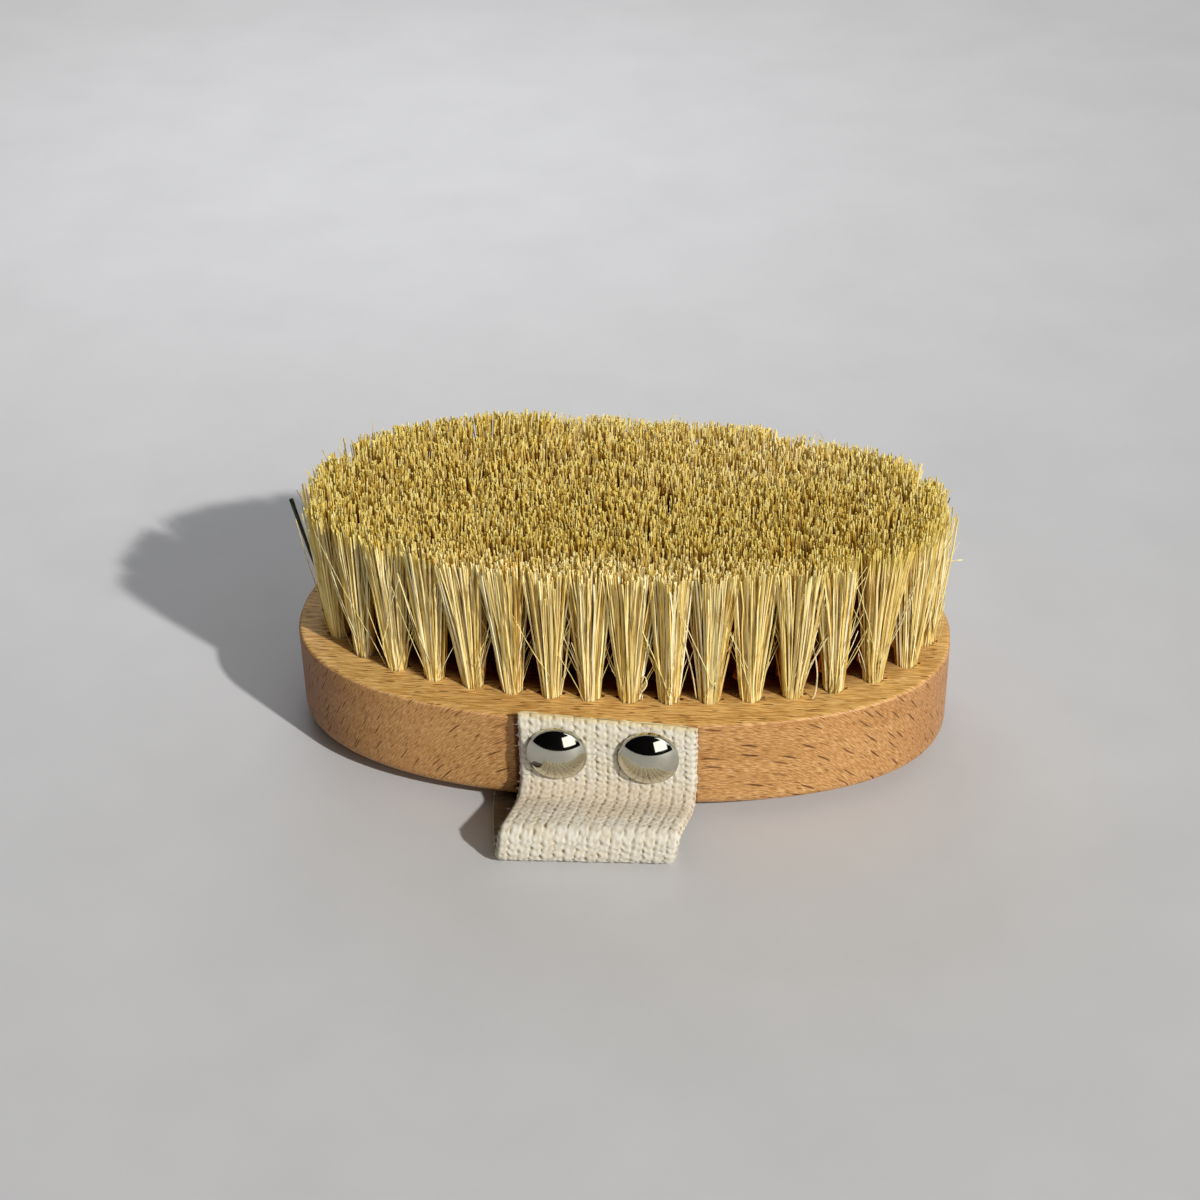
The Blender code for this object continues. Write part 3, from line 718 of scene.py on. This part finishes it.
def add_grain_map(mesh):
    """Map of the sides for the grain: along its lines, then across them.

    The lines lean by the slopes given for lengths round the side, counted from its middle towards +X,
    alike on both long sides.
    """
    line = np.roll(oval(BODY_LENGTH / 2, BODY_WIDTH / 2, BODY_POWER, GRAIN_STEPS), -GRAIN_STEPS // 4, axis=0)
    steps = np.linalg.norm(np.diff(line, axis=0, append=line[:1]), axis=1)
    ends = np.cumsum(steps)
    half = ends[-1] / 2
    place = ends - steps / 2 - half
    folded = np.where(np.abs(place) < half / 2, place, np.sign(place) * half - place)
    places, slopes = np.array(GRAIN_SLOPES).T
    slope = np.radians(np.interp(folded, places * MM, slopes))
    run = np.concatenate([[0.0], np.cumsum(steps / np.cos(slope))])
    rise = np.concatenate([[0.0], np.cumsum(steps * np.tan(slope))])

    points = np.empty(len(mesh.vertices) * 3, dtype=np.float32)
    mesh.vertices.foreach_get("co", points)
    corners = np.empty(len(mesh.loops), dtype=np.int32)
    mesh.loops.foreach_get("vertex_index", corners)
    x, y, z = points.reshape(-1, 3)[corners].T
    c, s = (signed_power(2 * part, BODY_POWER / 2) for part in (x / BODY_LENGTH, y / BODY_WIDTH))
    turn = (np.arctan2(s, c) / (2 * np.pi) - 0.25) % 1.0
    starts = np.array([face.loop_start for face in mesh.polygons])
    sizes = np.array([face.loop_total for face in mesh.polygons])
    crossing = np.maximum.reduceat(turn, starts) - np.minimum.reduceat(turn, starts) > 0.5
    turn = turn + (np.repeat(crossing, sizes) & (turn < 0.5))
    whole = np.floor(turn)
    part = np.linspace(0, 1, GRAIN_STEPS + 1)
    along_lines = np.interp(turn - whole, part, run) + whole * run[-1]
    across_lines = z - np.interp(turn - whole, part, rise) - whole * rise[-1]
    values = np.stack([along_lines, across_lines, 0 * along_lines], axis=-1)
    add_layer(mesh, "grain", values, "FLOAT_VECTOR", "CORNER")


def add_walls(bm, loops):
    """Quads between successive closed loops of equal length."""
    rows = [[bm.verts.new(point) for point in loop] for loop in loops]
    for low, high in zip(rows, rows[1:]):
        for k in range(len(low)):
            following = (k + 1) % len(low)
            bm.faces.new((low[k], low[following], high[following], high[k]))
    return rows


def raised(outline, height):
    """Points of a flat outline at a height."""
    return [(x, y, height) for x, y in outline]


def finished_mesh(name, bm, merge, sharp):
    """Smooth mesh of a bmesh, with near points merged and its edges sharp from an angle in degrees."""
    bmesh.ops.remove_doubles(bm, verts=bm.verts, dist=merge)
    bmesh.ops.recalc_face_normals(bm, faces=bm.faces)
    mesh = bpy.data.meshes.new(name)
    bm.to_mesh(mesh)
    bm.free()
    mesh.shade_smooth()
    mesh.set_sharp_from_angle(angle=math.radians(sharp))
    return mesh


def add_wood(material, spots):
    """Beech back with finely rounded edges and every tuft hole drilled."""
    outline = oval(BODY_LENGTH / 2, BODY_WIDTH / 2, BODY_POWER, BODY_STEPS)
    normals = oval_normals(outline, BODY_LENGTH / 2, BODY_WIDTH / 2, BODY_POWER)
    quarter = circle(np.linspace(0, math.pi / 2, ROUND_STEPS + 1))
    wall_top = BODY_TOP - TOP_ROUND
    wall_foot = BODY_BOTTOM + BOTTOM_ROUND
    levels = [(BOTTOM_ROUND + FLAT_MARGIN, BODY_BOTTOM)]
    levels += [(BOTTOM_ROUND * (1 - s), BODY_BOTTOM + BOTTOM_ROUND * (1 - c)) for c, s in quarter]
    levels += [(0.0, wall_foot + (wall_top - wall_foot) * k / 4) for k in (1, 2, 3)]
    levels += [(TOP_ROUND * (1 - c), wall_top + TOP_ROUND * s) for c, s in quarter]
    levels.append((TOP_ROUND + FLAT_MARGIN, BODY_TOP))

    mouths = [hole_outline(spot, HOLE_CHAMFER) for spot in spots]
    bm = bmesh.new()
    bm.from_mesh(filled_face([outline - normals * (TOP_ROUND + FLAT_MARGIN), *mouths], BODY_TOP))
    bm.from_mesh(filled_face([outline - normals * (BOTTOM_ROUND + FLAT_MARGIN)], BODY_BOTTOM))
    add_walls(bm, [raised(outline - normals * inset, height) for inset, height in levels])
    for spot, mouth in zip(spots, mouths):
        neck = hole_outline(spot, 0.0)
        rings = ((mouth, BODY_TOP), (neck, BODY_TOP - HOLE_CHAMFER), (neck, BODY_TOP - HOLE_DEPTH))
        rows = add_walls(bm, [raised(*ring) for ring in rings])
        bm.faces.new(rows[-1])
    mesh = finished_mesh("beech_back", bm, 0.002 * MM, 32)
    add_grain_map(mesh)
    wood = add_piece("beech_back", mesh, material)
    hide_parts("wood_body")


def tuft_paths(spot, out, lean, widen, chance):
    """Middle lines and radii of one tuft's fibres: packed in the hole, fanned out and trimmed.

    Also how far each fibre stands behind the outer face of its tuft, in foot radii.
    """
    count = FIBRES_PER_TUFT
    order = np.sqrt((np.arange(count) + 0.5) / count)
    angle = np.arange(count) * math.pi * (3 - math.sqrt(5)) + chance.uniform(0, 2 * math.pi)
    side = np.array([-out[1], out[0]])
    disc = order[:, None] * circle(angle)
    foot = disc * FOOT_RADIUS + chance.normal(0, FOOT_SCATTER, (count, 2))
    across = disc[:, 0] * TIP_REACH_SIDE * widen * chance.uniform(*TUFT_FAN)
    over = widen * disc[:, 1] * np.where(disc[:, 1] > 0, TIP_REACH_OUT, TIP_REACH_IN)
    spread = across[:, None] * side + over[:, None] * out
    foot = foot[:, :1] * side + foot[:, 1:] * out
    clumps = chance.uniform(-1, 1, (CLUMPS, 2)) * TIP_REACH_SIDE * 0.9
    nearest = clumps[np.argmin(np.linalg.norm(spread[:, None] - clumps[None], axis=2), axis=1)]
    spread = spread + (nearest - spread) * chance.uniform(0.0, CLUMP_PULL, (count, 1))
    spread = spread + chance.normal(0, TIP_SCATTER, (count, 2)) + np.array([0.0, lean * spot[1]])
    spread = spread + side * np.clip(chance.normal(0, TUFT_SHIFT), -TUFT_SHIFT_LIMIT, TUFT_SHIFT_LIMIT)
    spread = spread + out * chance.normal(0, TUFT_SHIFT_OUT)
    far = np.clip(2 * spot[1] / RING_WIDTH, 0.0, 1.0)
    trim = TUFT_HEIGHT + far * MM * np.interp(spot[0] / MM, *np.array(FAR_TRIM).T)
    trim = trim + NEAR_RISE * np.clip(-2 * spot[1] / RING_WIDTH, 0.0, 1.0)
    edge = EDGE_TRIM * np.clip(disc[:, 1], 0.0, 1.0) ** 2
    height = trim - edge - np.abs(chance.normal(0, TRIM_SCATTER, count)) - chance.uniform(0, TUFT_TRIM)
    short = chance.random(count) < SHORT_SHARE
    height = np.where(short, height - chance.uniform(*SHORT_BY, count), height)
    t = np.linspace(0, 1, FIBRE_STEPS)[None, :, None]
    bow = unit(chance.normal(0, 1, (count, 1, 2))) * chance.normal(0, BOW, (count, 1, 1))
    wave = unit(chance.normal(0, 1, (count, 1, 2))) * chance.normal(0, WAVE, (count, 1, 1))
    fanned = t ** chance.uniform(*FAN_CURVE, (count, 1, 1))
    flat = foot[:, None] * (1 - fanned) + spread[:, None] * fanned
    flat = flat + bow * np.sin(np.pi * t) + wave * np.sin(3 * np.pi * t)
    rise = BODY_TOP - FIBRE_ROOT + (FIBRE_ROOT + height[:, None, None]) * t
    paths = np.concatenate([flat + spot, rise], axis=-1)
    thickness = FIBRE_RADIUS * chance.uniform(*THICKNESSES, (count, 1))
    behind = np.sqrt(np.clip(1 - disc[:, 0] ** 2, 0, 1)) - disc[:, 1]
    return paths, thickness * np.linspace(1.0, TIP_THINNING, FIBRE_STEPS)[None], behind


def fibre_shade(paths, behind, depth):
    """Light that reaches each step of the fibres, from 0 to 1: it fades below the tips and inside a tuft."""
    below = (paths[:, -1:, 2] - paths[..., 2]) / MM
    fade = np.exp(-np.clip(below - 0.8, 0.0, None) / 4.5)
    if depth:
        return fade
    open_side = np.exp(-np.clip(behind[:, None] - 0.15, 0.0, None) / 1.1)
    return open_side + (1 - open_side) * fade


def add_tufts(name, node_name, feet, depth, material, seed):
    """Every fibre of one ring of tufts, as one piece."""
    chance = np.random.default_rng(seed)
    lean = SIDE_LEAN / (RING_WIDTH / 2)
    widen = INNER_FAN if depth else 1.0
    tufts = [tuft_paths(spot, out, lean, widen, chance) for spot, out in zip(*feet)]
    paths, radii, behind = (np.concatenate(part) for part in zip(*tufts))
    mesh = tube_mesh(name, paths, radii, FIBRE_SIDES, chance)
    add_layer(mesh, "shade", np.repeat(fibre_shade(paths, behind, depth), FIBRE_SIDES))
    mesh.shade_flat()
    piece = add_piece(name, mesh, material)
    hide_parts(node_name)


def stray_paths(spot, out, chance):
    """Thin loose fibres that leave a tuft at a slant and cross the gaps beside it."""
    count = STRAYS_PER_TUFT
    angle = chance.uniform(0, 2 * math.pi, count)
    side = np.array([-out[1], out[0]])
    foot = spot + circle(angle) * HOLE_RADIUS * chance.uniform(0.6, 1.0, (count, 1)) + out * 0.5 * MM
    hand = np.where(chance.random(count) < 0.5, -1.0, 1.0)
    slope = np.tan(np.radians(chance.uniform(*STRAY_SLANTS, count))) * hand
    low = chance.uniform(*STRAY_FEET, count)
    length = np.minimum(chance.uniform(*STRAY_LENGTHS, count), TUFT_HEIGHT - low)
    t = np.linspace(0, 1, STRAY_STEPS)[None, :]
    reach = slope[:, None] * length[:, None] * t**1.15
    bow = chance.normal(0, STRAY_BOW, (count, 1)) * np.sin(np.pi * t)
    lift = chance.uniform(0.0, 0.10, (count, 1)) * length[:, None] * t
    flat = foot[:, None] + reach[..., None] * side + (bow + lift)[..., None] * out
    rise = BODY_TOP + low[:, None] + length[:, None] * t
    paths = np.concatenate([flat, rise[..., None]], axis=-1)
    thickness = chance.uniform(*STRAY_RADII, (count, 1))
    return paths, thickness * np.linspace(1.0, 0.7, STRAY_STEPS)[None]


def smooth_curve(knots, values, slopes, places):
    """Values at places on a smooth curve through the values and slopes at its knots, level beyond them."""
    index = np.clip(np.searchsorted(knots, places) - 1, 0, len(knots) - 2)
    span = (knots[index + 1] - knots[index])[:, None]
    t = np.clip((places - knots[index])[:, None] / span, 0, 1)
    left, right = slopes[index] * span, slopes[index + 1] * span
    cubic = (2 * t**3 - 3 * t**2 + 1) * values[index] + (t**3 - 2 * t**2 + t) * left
    return cubic + (3 * t**2 - 2 * t**3) * values[index + 1] + (t**3 - t**2) * right


def smooth_path(points, steps):
    """Points at even steps on a smooth curve through a few points given in millimetres."""
    points = np.array(points) * MM
    knots = lengths_along(points)
    return smooth_curve(knots, points, np.gradient(points, knots, axis=0), np.linspace(0, knots[-1], steps))


def add_loose_fibres(feet, material):
    """Thin strays of the outer ring, bent fibres that curl out of it, and dark blades at its two ends."""
    chance = np.random.default_rng(200)
    strays = [stray_paths(spot, out, chance) for spot, out in zip(*feet)]
    paths, radii = (np.concatenate(part) for part in zip(*strays))
    bent = np.stack([smooth_path(curl, STRAY_STEPS * 3) for curl in CURLS])
    loose = tube_mesh("loose_fibres", paths, radii, 3, chance)
    curls = tube_mesh("bent_fibres", bent, np.full(bent.shape[:2], CURL_RADIUS), 4, chance)
    add_piece("bent_fibres", curls, tinted_fibre_material("pale_fibre", PALE_TONE))
    add_layer(loose, "shade", np.ones(len(loose.vertices)))
    add_piece("loose_fibres", loose, material)
    for name, points, radius, tone in BLADES:
        line = smooth_path(points, BLADE_STEPS)[None]
        radii = radius * MM * np.linspace(1.0, 0.45, BLADE_STEPS)[None]
        blade = tube_mesh(name, line, radii, 6, chance)
        add_piece(name, blade, tinted_fibre_material(name, tone))


def strap_route():
    """Middle line of the webbing as (y, z) points, and the indices where it leaves, folds and climbs.

    It comes down the near side, bends out, rises to the crest of the loop, drops to the table, folds back
    along it and climbs the far side.
    """
    lower = STRAP_THICKNESS / 2
    front = -(BODY_WIDTH / 2 + LOOP_REACH) + lower
    crest = np.array([front + LOOP_CREST_RADIUS, LOOP_HEIGHT - lower - LOOP_CREST_RADIUS])
    foot = np.array([front + LOOP_FOOT_RADIUS, lower + LOOP_FOOT_RADIUS])
    bend = np.array([-STRAP_SIDE_Y - LOOP_BEND_RADIUS, DOMES_FOOT - LOOP_BEND_DROP])
    gap = bend - crest
    slope = math.asin((LOOP_CREST_RADIUS + LOOP_BEND_RADIUS) / np.linalg.norm(gap))
    slope -= math.atan2(gap[1], gap[0])
    normal = np.array([math.sin(slope), math.cos(slope)])
    far_radius = BOTTOM_ROUND + SEAT_GAP + STRAP_THICKNESS / 2
    far_y = STRAP_SIDE_Y - far_radius

    def line(start, end, steps):
        return np.linspace(start, end, steps, endpoint=False)

    def arc(centre, radius, start, end, steps):
        return np.array(centre) + radius * circle(line(start, end, steps))

    stretches = [
        line((-STRAP_SIDE_Y, STRAP_TOP), (-STRAP_SIDE_Y, bend[1]), 40),
        arc(bend, LOOP_BEND_RADIUS, 0.0, -math.pi / 2 - slope, 24),
        line(bend - normal * LOOP_BEND_RADIUS, crest + normal * LOOP_CREST_RADIUS, 30),
        arc(crest, LOOP_CREST_RADIUS, math.pi / 2 - slope, math.pi, 24),
        line((front, crest[1]), (front, foot[1]), 12),
        arc(foot, LOOP_FOOT_RADIUS, math.pi, 3 * math.pi / 2, 30),
        line((foot[0], lower), (far_y, lower), 200),
        arc((far_y, lower + far_radius), far_radius, -math.pi / 2, 0.0, 24),
        line((STRAP_SIDE_Y, lower + far_radius), (STRAP_SIDE_Y, STRAP_TOP), 40),
        [(STRAP_SIDE_Y, STRAP_TOP)],
    ]
    ends = np.cumsum([len(stretch) for stretch in stretches])
    return np.concatenate(stretches), ends[0], (ends[2] + ends[5]) // 2, ends[7]


def strap_frames(count):
    """Middle, across and outward vectors of the webbing at evenly spaced lengths.

    Between the places where it leaves the side, folds, goes under the wood and climbs, it drifts along X
    and turns a little.
    """
    route, leave, fold, far = strap_route()
    lengths = lengths_along(route)
    under = fold + int(np.argmin(np.abs(route[fold:far, 0] + BODY_WIDTH / 2 - STRAP_UNDER_INSET)))
    knots = lengths[[leave, fold, under, far]]
    drift = (STRAP_NEAR_X, STRAP_FOLD_X, STRAP_UNDER_X, STRAP_FAR_X)
    values = np.stack([drift, (0.0, FOLD_TURN, UNDER_TURN, 0.0)], axis=-1)
    slopes = np.zeros_like(values)
    slopes[1:-1] = (values[2:] - values[:-2]) / (knots[2:] - knots[:-2])[:, None]
    places = np.linspace(0, lengths[-1], count)
    x, angles = smooth_curve(knots, values, slopes, places).T
    middle = np.stack([x, *(np.interp(places, lengths, part) for part in route.T)], axis=-1)
    across = np.pad(circle(angles), ((0, 0), (0, 1)))
    outward = unit(np.cross(unit(np.gradient(middle, axis=0)), across))
    return middle, across, outward, places


def weave_height(across, along_strap, shift):
    """Height of the webbing's face, from 0 in a groove to 1 on a crown.

    Each rib is a row of chevron stitches. The grooves between the ribs bow to one side and the other at
    every stitch, and are deepest in the middle of a bow, where their painted shade is darkest.
    """
    row = along_strap / STITCH_PITCH + shift
    column = across / RIB_PITCH
    column = column + 0.05 * np.sin(np.pi * row + 1.7 * np.floor(column))
    groove = np.round(column)
    bow = np.abs(np.sin(np.pi * (row + 0.5 * (groove % 2) + 0.11 * np.sin(2.7 * groove))))
    from_groove = column - groove + 0.16 * (bow - 0.6) * np.where(groove % 2 == 0, 1.0, -1.0)
    from_groove = np.clip(np.abs(from_groove) * 2, 0, 1)
    stitch = np.abs(np.cos(np.pi * (row + 0.5 * (np.floor(column) % 2) - 0.38 * from_groove))) ** 0.45
    beside = 1 - (0.40 + 0.60 * bow**2) * np.exp(-((from_groove / 0.18) ** 2))
    middle = np.exp(-(((1 - from_groove) / 0.13) ** 2))
    slit = np.exp(-((from_groove / 0.12) ** 2)) * bow**2
    return np.clip(0.28 + 0.72 * beside * (0.38 + 0.62 * stitch) - 0.14 * middle - 0.22 * slit, 0, 1)


def smooth_random(places, size, seed):
    """Smooth random values, from about -1 to 1, at places in a plane."""
    values = [noise.noise(Vector((x, y, seed))) for x, y in places.reshape(-1, 2) / size]
    return np.array(values).reshape(places.shape[:-1])


def strap_face(frames, columns, sign, seed):
    """Grid of points and crown heights of the outer (1) or inner (-1) face of the webbing."""
    middle, across, outward, places = frames
    half = STRAP_WIDTH / 2
    x, along_strap = np.meshgrid(np.linspace(-half, half, columns + 1), places)
    where = np.stack([x, along_strap], axis=-1)
    skew = 0.22 * smooth_random(where, 8 * MM, seed)
    crown = weave_height(x + 0.22 * MM * smooth_random(where, 2.6 * MM, seed + 1), along_strap, skew)
    crown = np.clip(crown + 0.30 * smooth_random(where, 0.55 * MM, seed + 2), 0, 1)
    to_edge = np.clip((half - np.abs(x)) / EDGE_TAPER, 0, 1)
    rounding = EDGE_DROP * (1 - np.sqrt(1 - (1 - to_edge) ** 2))
    if sign > 0:
        rounding = np.maximum(rounding, 1.1 * MM * np.clip(1 - along_strap / CUT_TAPER, 0, 1) ** 1.5)
    else:
        rounding = 0.4 * rounding
    offset = STRAP_THICKNESS / 2 - WEAVE_DEPTH * (1 - crown) - rounding
    points = middle[:, None] + across[:, None] * x[..., None] + sign * outward[:, None] * offset[..., None]
    cut = np.clip(1 - along_strap / (6 * MM), 0, 1)
    points[..., 2] -= cut * STRAP_CUT_SKEW * x / STRAP_WIDTH
    points[0, :, 2] += 0.12 * MM + 0.35 * MM * smooth_random(where[0], 0.5 * MM, seed + 3)
    return points, crown


def strap_edge(first, last, push, bump):
    """Strip of points that joins the two faces along a selvedge, over the loops of its weft."""
    strip = []
    for step in range(1, EDGE_SAMPLES):
        t = step / EDGE_SAMPLES
        bulge = math.sin(math.pi * t) * (0.12 * MM + 0.24 * MM * bump)
        strip.append(first * (1 - t) + last * t + push * bulge[:, None])
    return np.stack(strip, axis=1), np.stack([0.70 + 0.3 * bump] * len(strip), axis=1)


def add_strap(material, fuzz):
    """Woven cotton strap along its route, closed round its selvedges and its cut ends."""
    ribs = round(STRAP_WIDTH / RIB_PITCH)
    rows = round(STRAP_LENGTH / STITCH_PITCH * STITCH_SAMPLES)
    frames = strap_frames(rows + 1)
    across, outward, places = frames[1:]
    outer, outer_crown = strap_face(frames, ribs * RIB_SAMPLES, 1.0, 3.7)
    inner, inner_crown = strap_face(frames, ribs * INNER_RIB_SAMPLES, -1.0, 11.3)
    # The inner face gets low crown values, so the dark groove tone: painted shade inside the loop and under
    # the wood
    inner, inner_crown = inner[:, ::-1], 0.12 * inner_crown[:, ::-1]
    bump = 0.35 + 0.35 * np.cos(2 * np.pi * places / STITCH_PITCH)
    bump = np.clip(bump + 0.5 * smooth_random(np.stack([places, places * 0], axis=-1), 0.9 * MM, 5.5), 0, 1)
    right, right_crown = strap_edge(outer[:, -1], inner[:, 0], across, bump)
    left, left_crown = strap_edge(inner[:, -1], outer[:, 0], -across, bump)
    inner_crown[[0, -1]] = 0.9
    shell = np.concatenate([outer, right, inner, left], axis=1)
    crown = np.concatenate([outer_crown, right_crown, inner_crown, left_crown], axis=1)
    around = shell.shape[1]
    index = np.arange(shell.shape[0] * around).reshape(shell.shape[0], around)
    following = np.roll(index, -1, axis=1)
    walls = np.stack([index[:-1], index[1:], following[1:], following[:-1]], axis=-1).reshape(-1, 4)
    ends = [index[:1], index[-1:, ::-1]]
    mesh = mesh_from_arrays("cotton_strap", shell.reshape(-1, 3), [walls, *ends])
    add_layer(mesh, "crown", crown)
    frayed = np.clip(1 - np.minimum(places, places[-1] - places) / FRAYED_LENGTH, 0, 1)
    add_layer(mesh, "frayed", np.repeat(frayed, around))
    # Painted shade along the strap, from its bend out of the side to the crest of the loop
    loop_shade = np.clip((places - LOOP_SHADE_FROM) / (2.5 * MM), 0, 1)
    loop_shade = loop_shade * np.clip((LOOP_SHADE_TO - places) / (4.0 * MM), 0, 1)
    add_layer(mesh, "loop_shade", np.repeat(loop_shade, around))
    for end in list(mesh.polygons)[-2:]:
        end.use_smooth = False
    strap = add_piece("cotton_strap", mesh, material)
    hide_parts("hand_strap")
    hairs = add_fuzz(outer, outward, fuzz)


def add_fuzz(sheet, outward, material):
    """Short loose hairs on the outer face and along the edges of the strap."""
    chance = np.random.default_rng(21)
    count = HAIRS
    rows, columns = sheet.shape[:2]
    row = chance.integers(2, rows - 2, count)
    column = chance.integers(0, columns, count)
    to_edge = chance.random(count) < 0.45
    column = np.where(to_edge, np.where(chance.random(count) < 0.5, 0, columns - 1), column)
    start = sheet[row, column]
    away = outward[row] * chance.uniform(0.25, 1.0, (count, 1)) + chance.normal(0, 0.8, (count, 3))
    away[:, 0] += 1.2 * np.where(column == 0, -1.0, column == columns - 1)
    away = unit(away)
    length = chance.uniform(*HAIR_LENGTHS, (count, 1, 1))
    bend = unit(chance.normal(0, 1, (count, 3)))[:, None, :] * length * 0.35
    t = np.linspace(0, 1, 4)[None, :, None]
    paths = start[:, None] - 0.1 * MM * away[:, None] + away[:, None] * length * t + bend * t**2
    paths[..., 2] = np.maximum(paths[..., 2], 0.05 * MM)
    radii = np.full((count, 4), HAIR_RADIUS)
    return add_piece("strap_fuzz", tube_mesh("strap_fuzz", paths, radii, 3, chance), material)


def nail_places():
    """Name and frame of each nail, as in the solids: its Z points out of the side of the strap."""
    places = []
    for side, out in (("near_", -1), ("far_", 1)):
        for hand, x in (("left", -NAIL_SPACING / 2), ("right", NAIL_SPACING / 2)):
            spot = Matrix.Translation((x, out * STRAP_FACE_Y, NAIL_HEIGHT))
            places.append((side + hand, spot @ Matrix.Rotation(-out * math.pi / 2, 4, "X")))
    return places


def dome_profile():
    """Section of the cap as (radius, height): crown, rounded rim, band, lip and inside."""
    crown_foot = SEAT_GAP + DOME_BAND
    radius = (DOME_RADIUS**2 + DOME_CROWN**2) / (2 * DOME_CROWN)
    centre = crown_foot + DOME_CROWN - radius
    edge = math.asin((DOME_RADIUS - DOME_EDGE_ROUND) / radius)

    def dome(radius, angles):
        return np.array([0.0, centre]) + radius * circle(angles)[:, ::-1]

    crown = dome(radius, np.linspace(0, edge, 27))
    rim = np.array([DOME_RADIUS - DOME_EDGE_ROUND, crown[-1, 1] - DOME_EDGE_ROUND * 0.8])
    rim = rim + DOME_EDGE_ROUND * circle(np.linspace(0.24 * math.pi, 0, 5))
    foot = SEAT_GAP - DOME_SINK
    inside = DOME_RADIUS - DOME_WALL
    lip = [(DOME_RADIUS, foot + 0.1 * MM), (DOME_RADIUS - 0.1 * MM, foot), (DOME_LIP_HOLE_RADIUS, foot)]
    lip += [(DOME_LIP_HOLE_RADIUS, foot + 0.3 * MM), (inside, foot + 0.3 * MM)]
    inner = radius - DOME_WALL
    return np.concatenate([crown, rim, lip, dome(inner, np.linspace(math.asin(inside / inner), 0, 9))])


def add_dome(name, place, material):
    """Finely turned cap of a dome nail in the place of its solid."""
    bm = bmesh.new()
    verts = [bm.verts.new((radius, 0.0, height)) for radius, height in dome_profile()]
    edges = [bm.edges.new(pair) for pair in zip(verts, verts[1:])]
    bmesh.ops.spin(
        bm, geom=[*verts, *edges], cent=(0, 0, 0), axis=(0, 0, 1), angle=2 * math.pi, steps=DOME_STEPS,
        use_merge=True,
    )
    mesh = finished_mesh("cap_" + name, bm, 0.001 * MM, 40)
    mesh.transform(place)
    cap = add_piece("cap_" + name, mesh, material)
    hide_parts("dome_cap_" + name)


def add_floor():
    """Pale floor under the brush."""
    bpy.ops.mesh.primitive_plane_add(size=8.0, location=(0, 0, -0.02 * MM))
    floor = bpy.context.object
    floor.name = "floor"
    floor.data.materials.append(floor_material())


def add_lamp(name, kind, energy, place=(0, 0, 0), direction=(0, 0, 1), **settings):
    """Lamp at a place that shines from a direction."""
    data = bpy.data.lights.new(name, kind)
    data.energy = energy
    for key, value in settings.items():
        setattr(data, key, value)
    lamp = bpy.data.objects.new(name, data)
    bpy.context.scene.collection.objects.link(lamp)
    lamp.location = place
    lamp.rotation_euler = Vector(direction).to_track_quat("Z", "Y").to_euler()


def add_lights():
    """Distant key from the front right, a window-like softbox beside it, a weak lamp behind, and a room.

    The room is dark in front and at the left.
    """
    add_lamp("key", "SUN", KEY_STRENGTH, direction=KEY_DIRECTION, angle=KEY_ANGLE, color=KEY_TONE)
    window = Vector(WINDOW_DIRECTION).normalized()
    size, size_y = WINDOW_SIZE
    add_lamp("window", "AREA", WINDOW_POWER, window, window, shape="RECTANGLE", size=size, size_y=size_y)
    add_lamp("back", "AREA", BACK_POWER, BACK_PLACE, shape="DISK", size=BACK_SIZE, color=BACK_TONE)

    world = bpy.data.worlds.new("room")
    world.use_nodes = True
    tree = world.node_tree
    sky = source(tree, "TexCoord", "Generated")
    inputs = {0: sky, 1: ROOM_BRIGHT_SIDE}
    behind = node("VectorMath", inputs, operation="DOT_PRODUCT").outputs["Value"]
    tone = grey_ramp(behind, (0.15, 0.006), (0.5, ROOM_BRIGHTNESS))
    from_left = line_of(parts(sky)[0], 0.5, 0.5)
    tone = tint(tone, grey_ramp(from_left, (0.05, 0.35), (0.6, 1.08)))
    plug(tree.nodes["Background"], {"Color": tone})
    bpy.context.scene.world = world


def main():
    """Dress the brush and light it."""
    bpy.context.scene.view_settings.view_transform = "Standard"
    add_camera()
    add_lights()
    add_floor()
    feet = [ring_feet(ring) for ring in range(len(RING_COUNTS))] + [row_feet()]
    add_wood(beech_material(), np.concatenate([spots for spots, _ in feet]))
    fibre = fibre_material()
    for ring in range(len(RING_COUNTS)):
        add_tufts(f"fibres_ring_{ring + 1}", f"tuft_ring_{ring + 1}", feet[ring], ring, fibre, 100 + ring)
    add_tufts("fibres_middle_row", "tuft_middle_row", feet[-1], len(RING_COUNTS), fibre, 110)
    add_loose_fibres(feet[0], fibre)
    add_strap(webbing_material(), fuzz_material())
    chrome = chrome_material()
    for name, place in nail_places():
        add_dome(name, place, chrome)
    steel = steel_material()
    for name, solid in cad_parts.items():
        if name.startswith("tack_"):
            for holder in solid.material_slots:
                holder.material = steel


main()
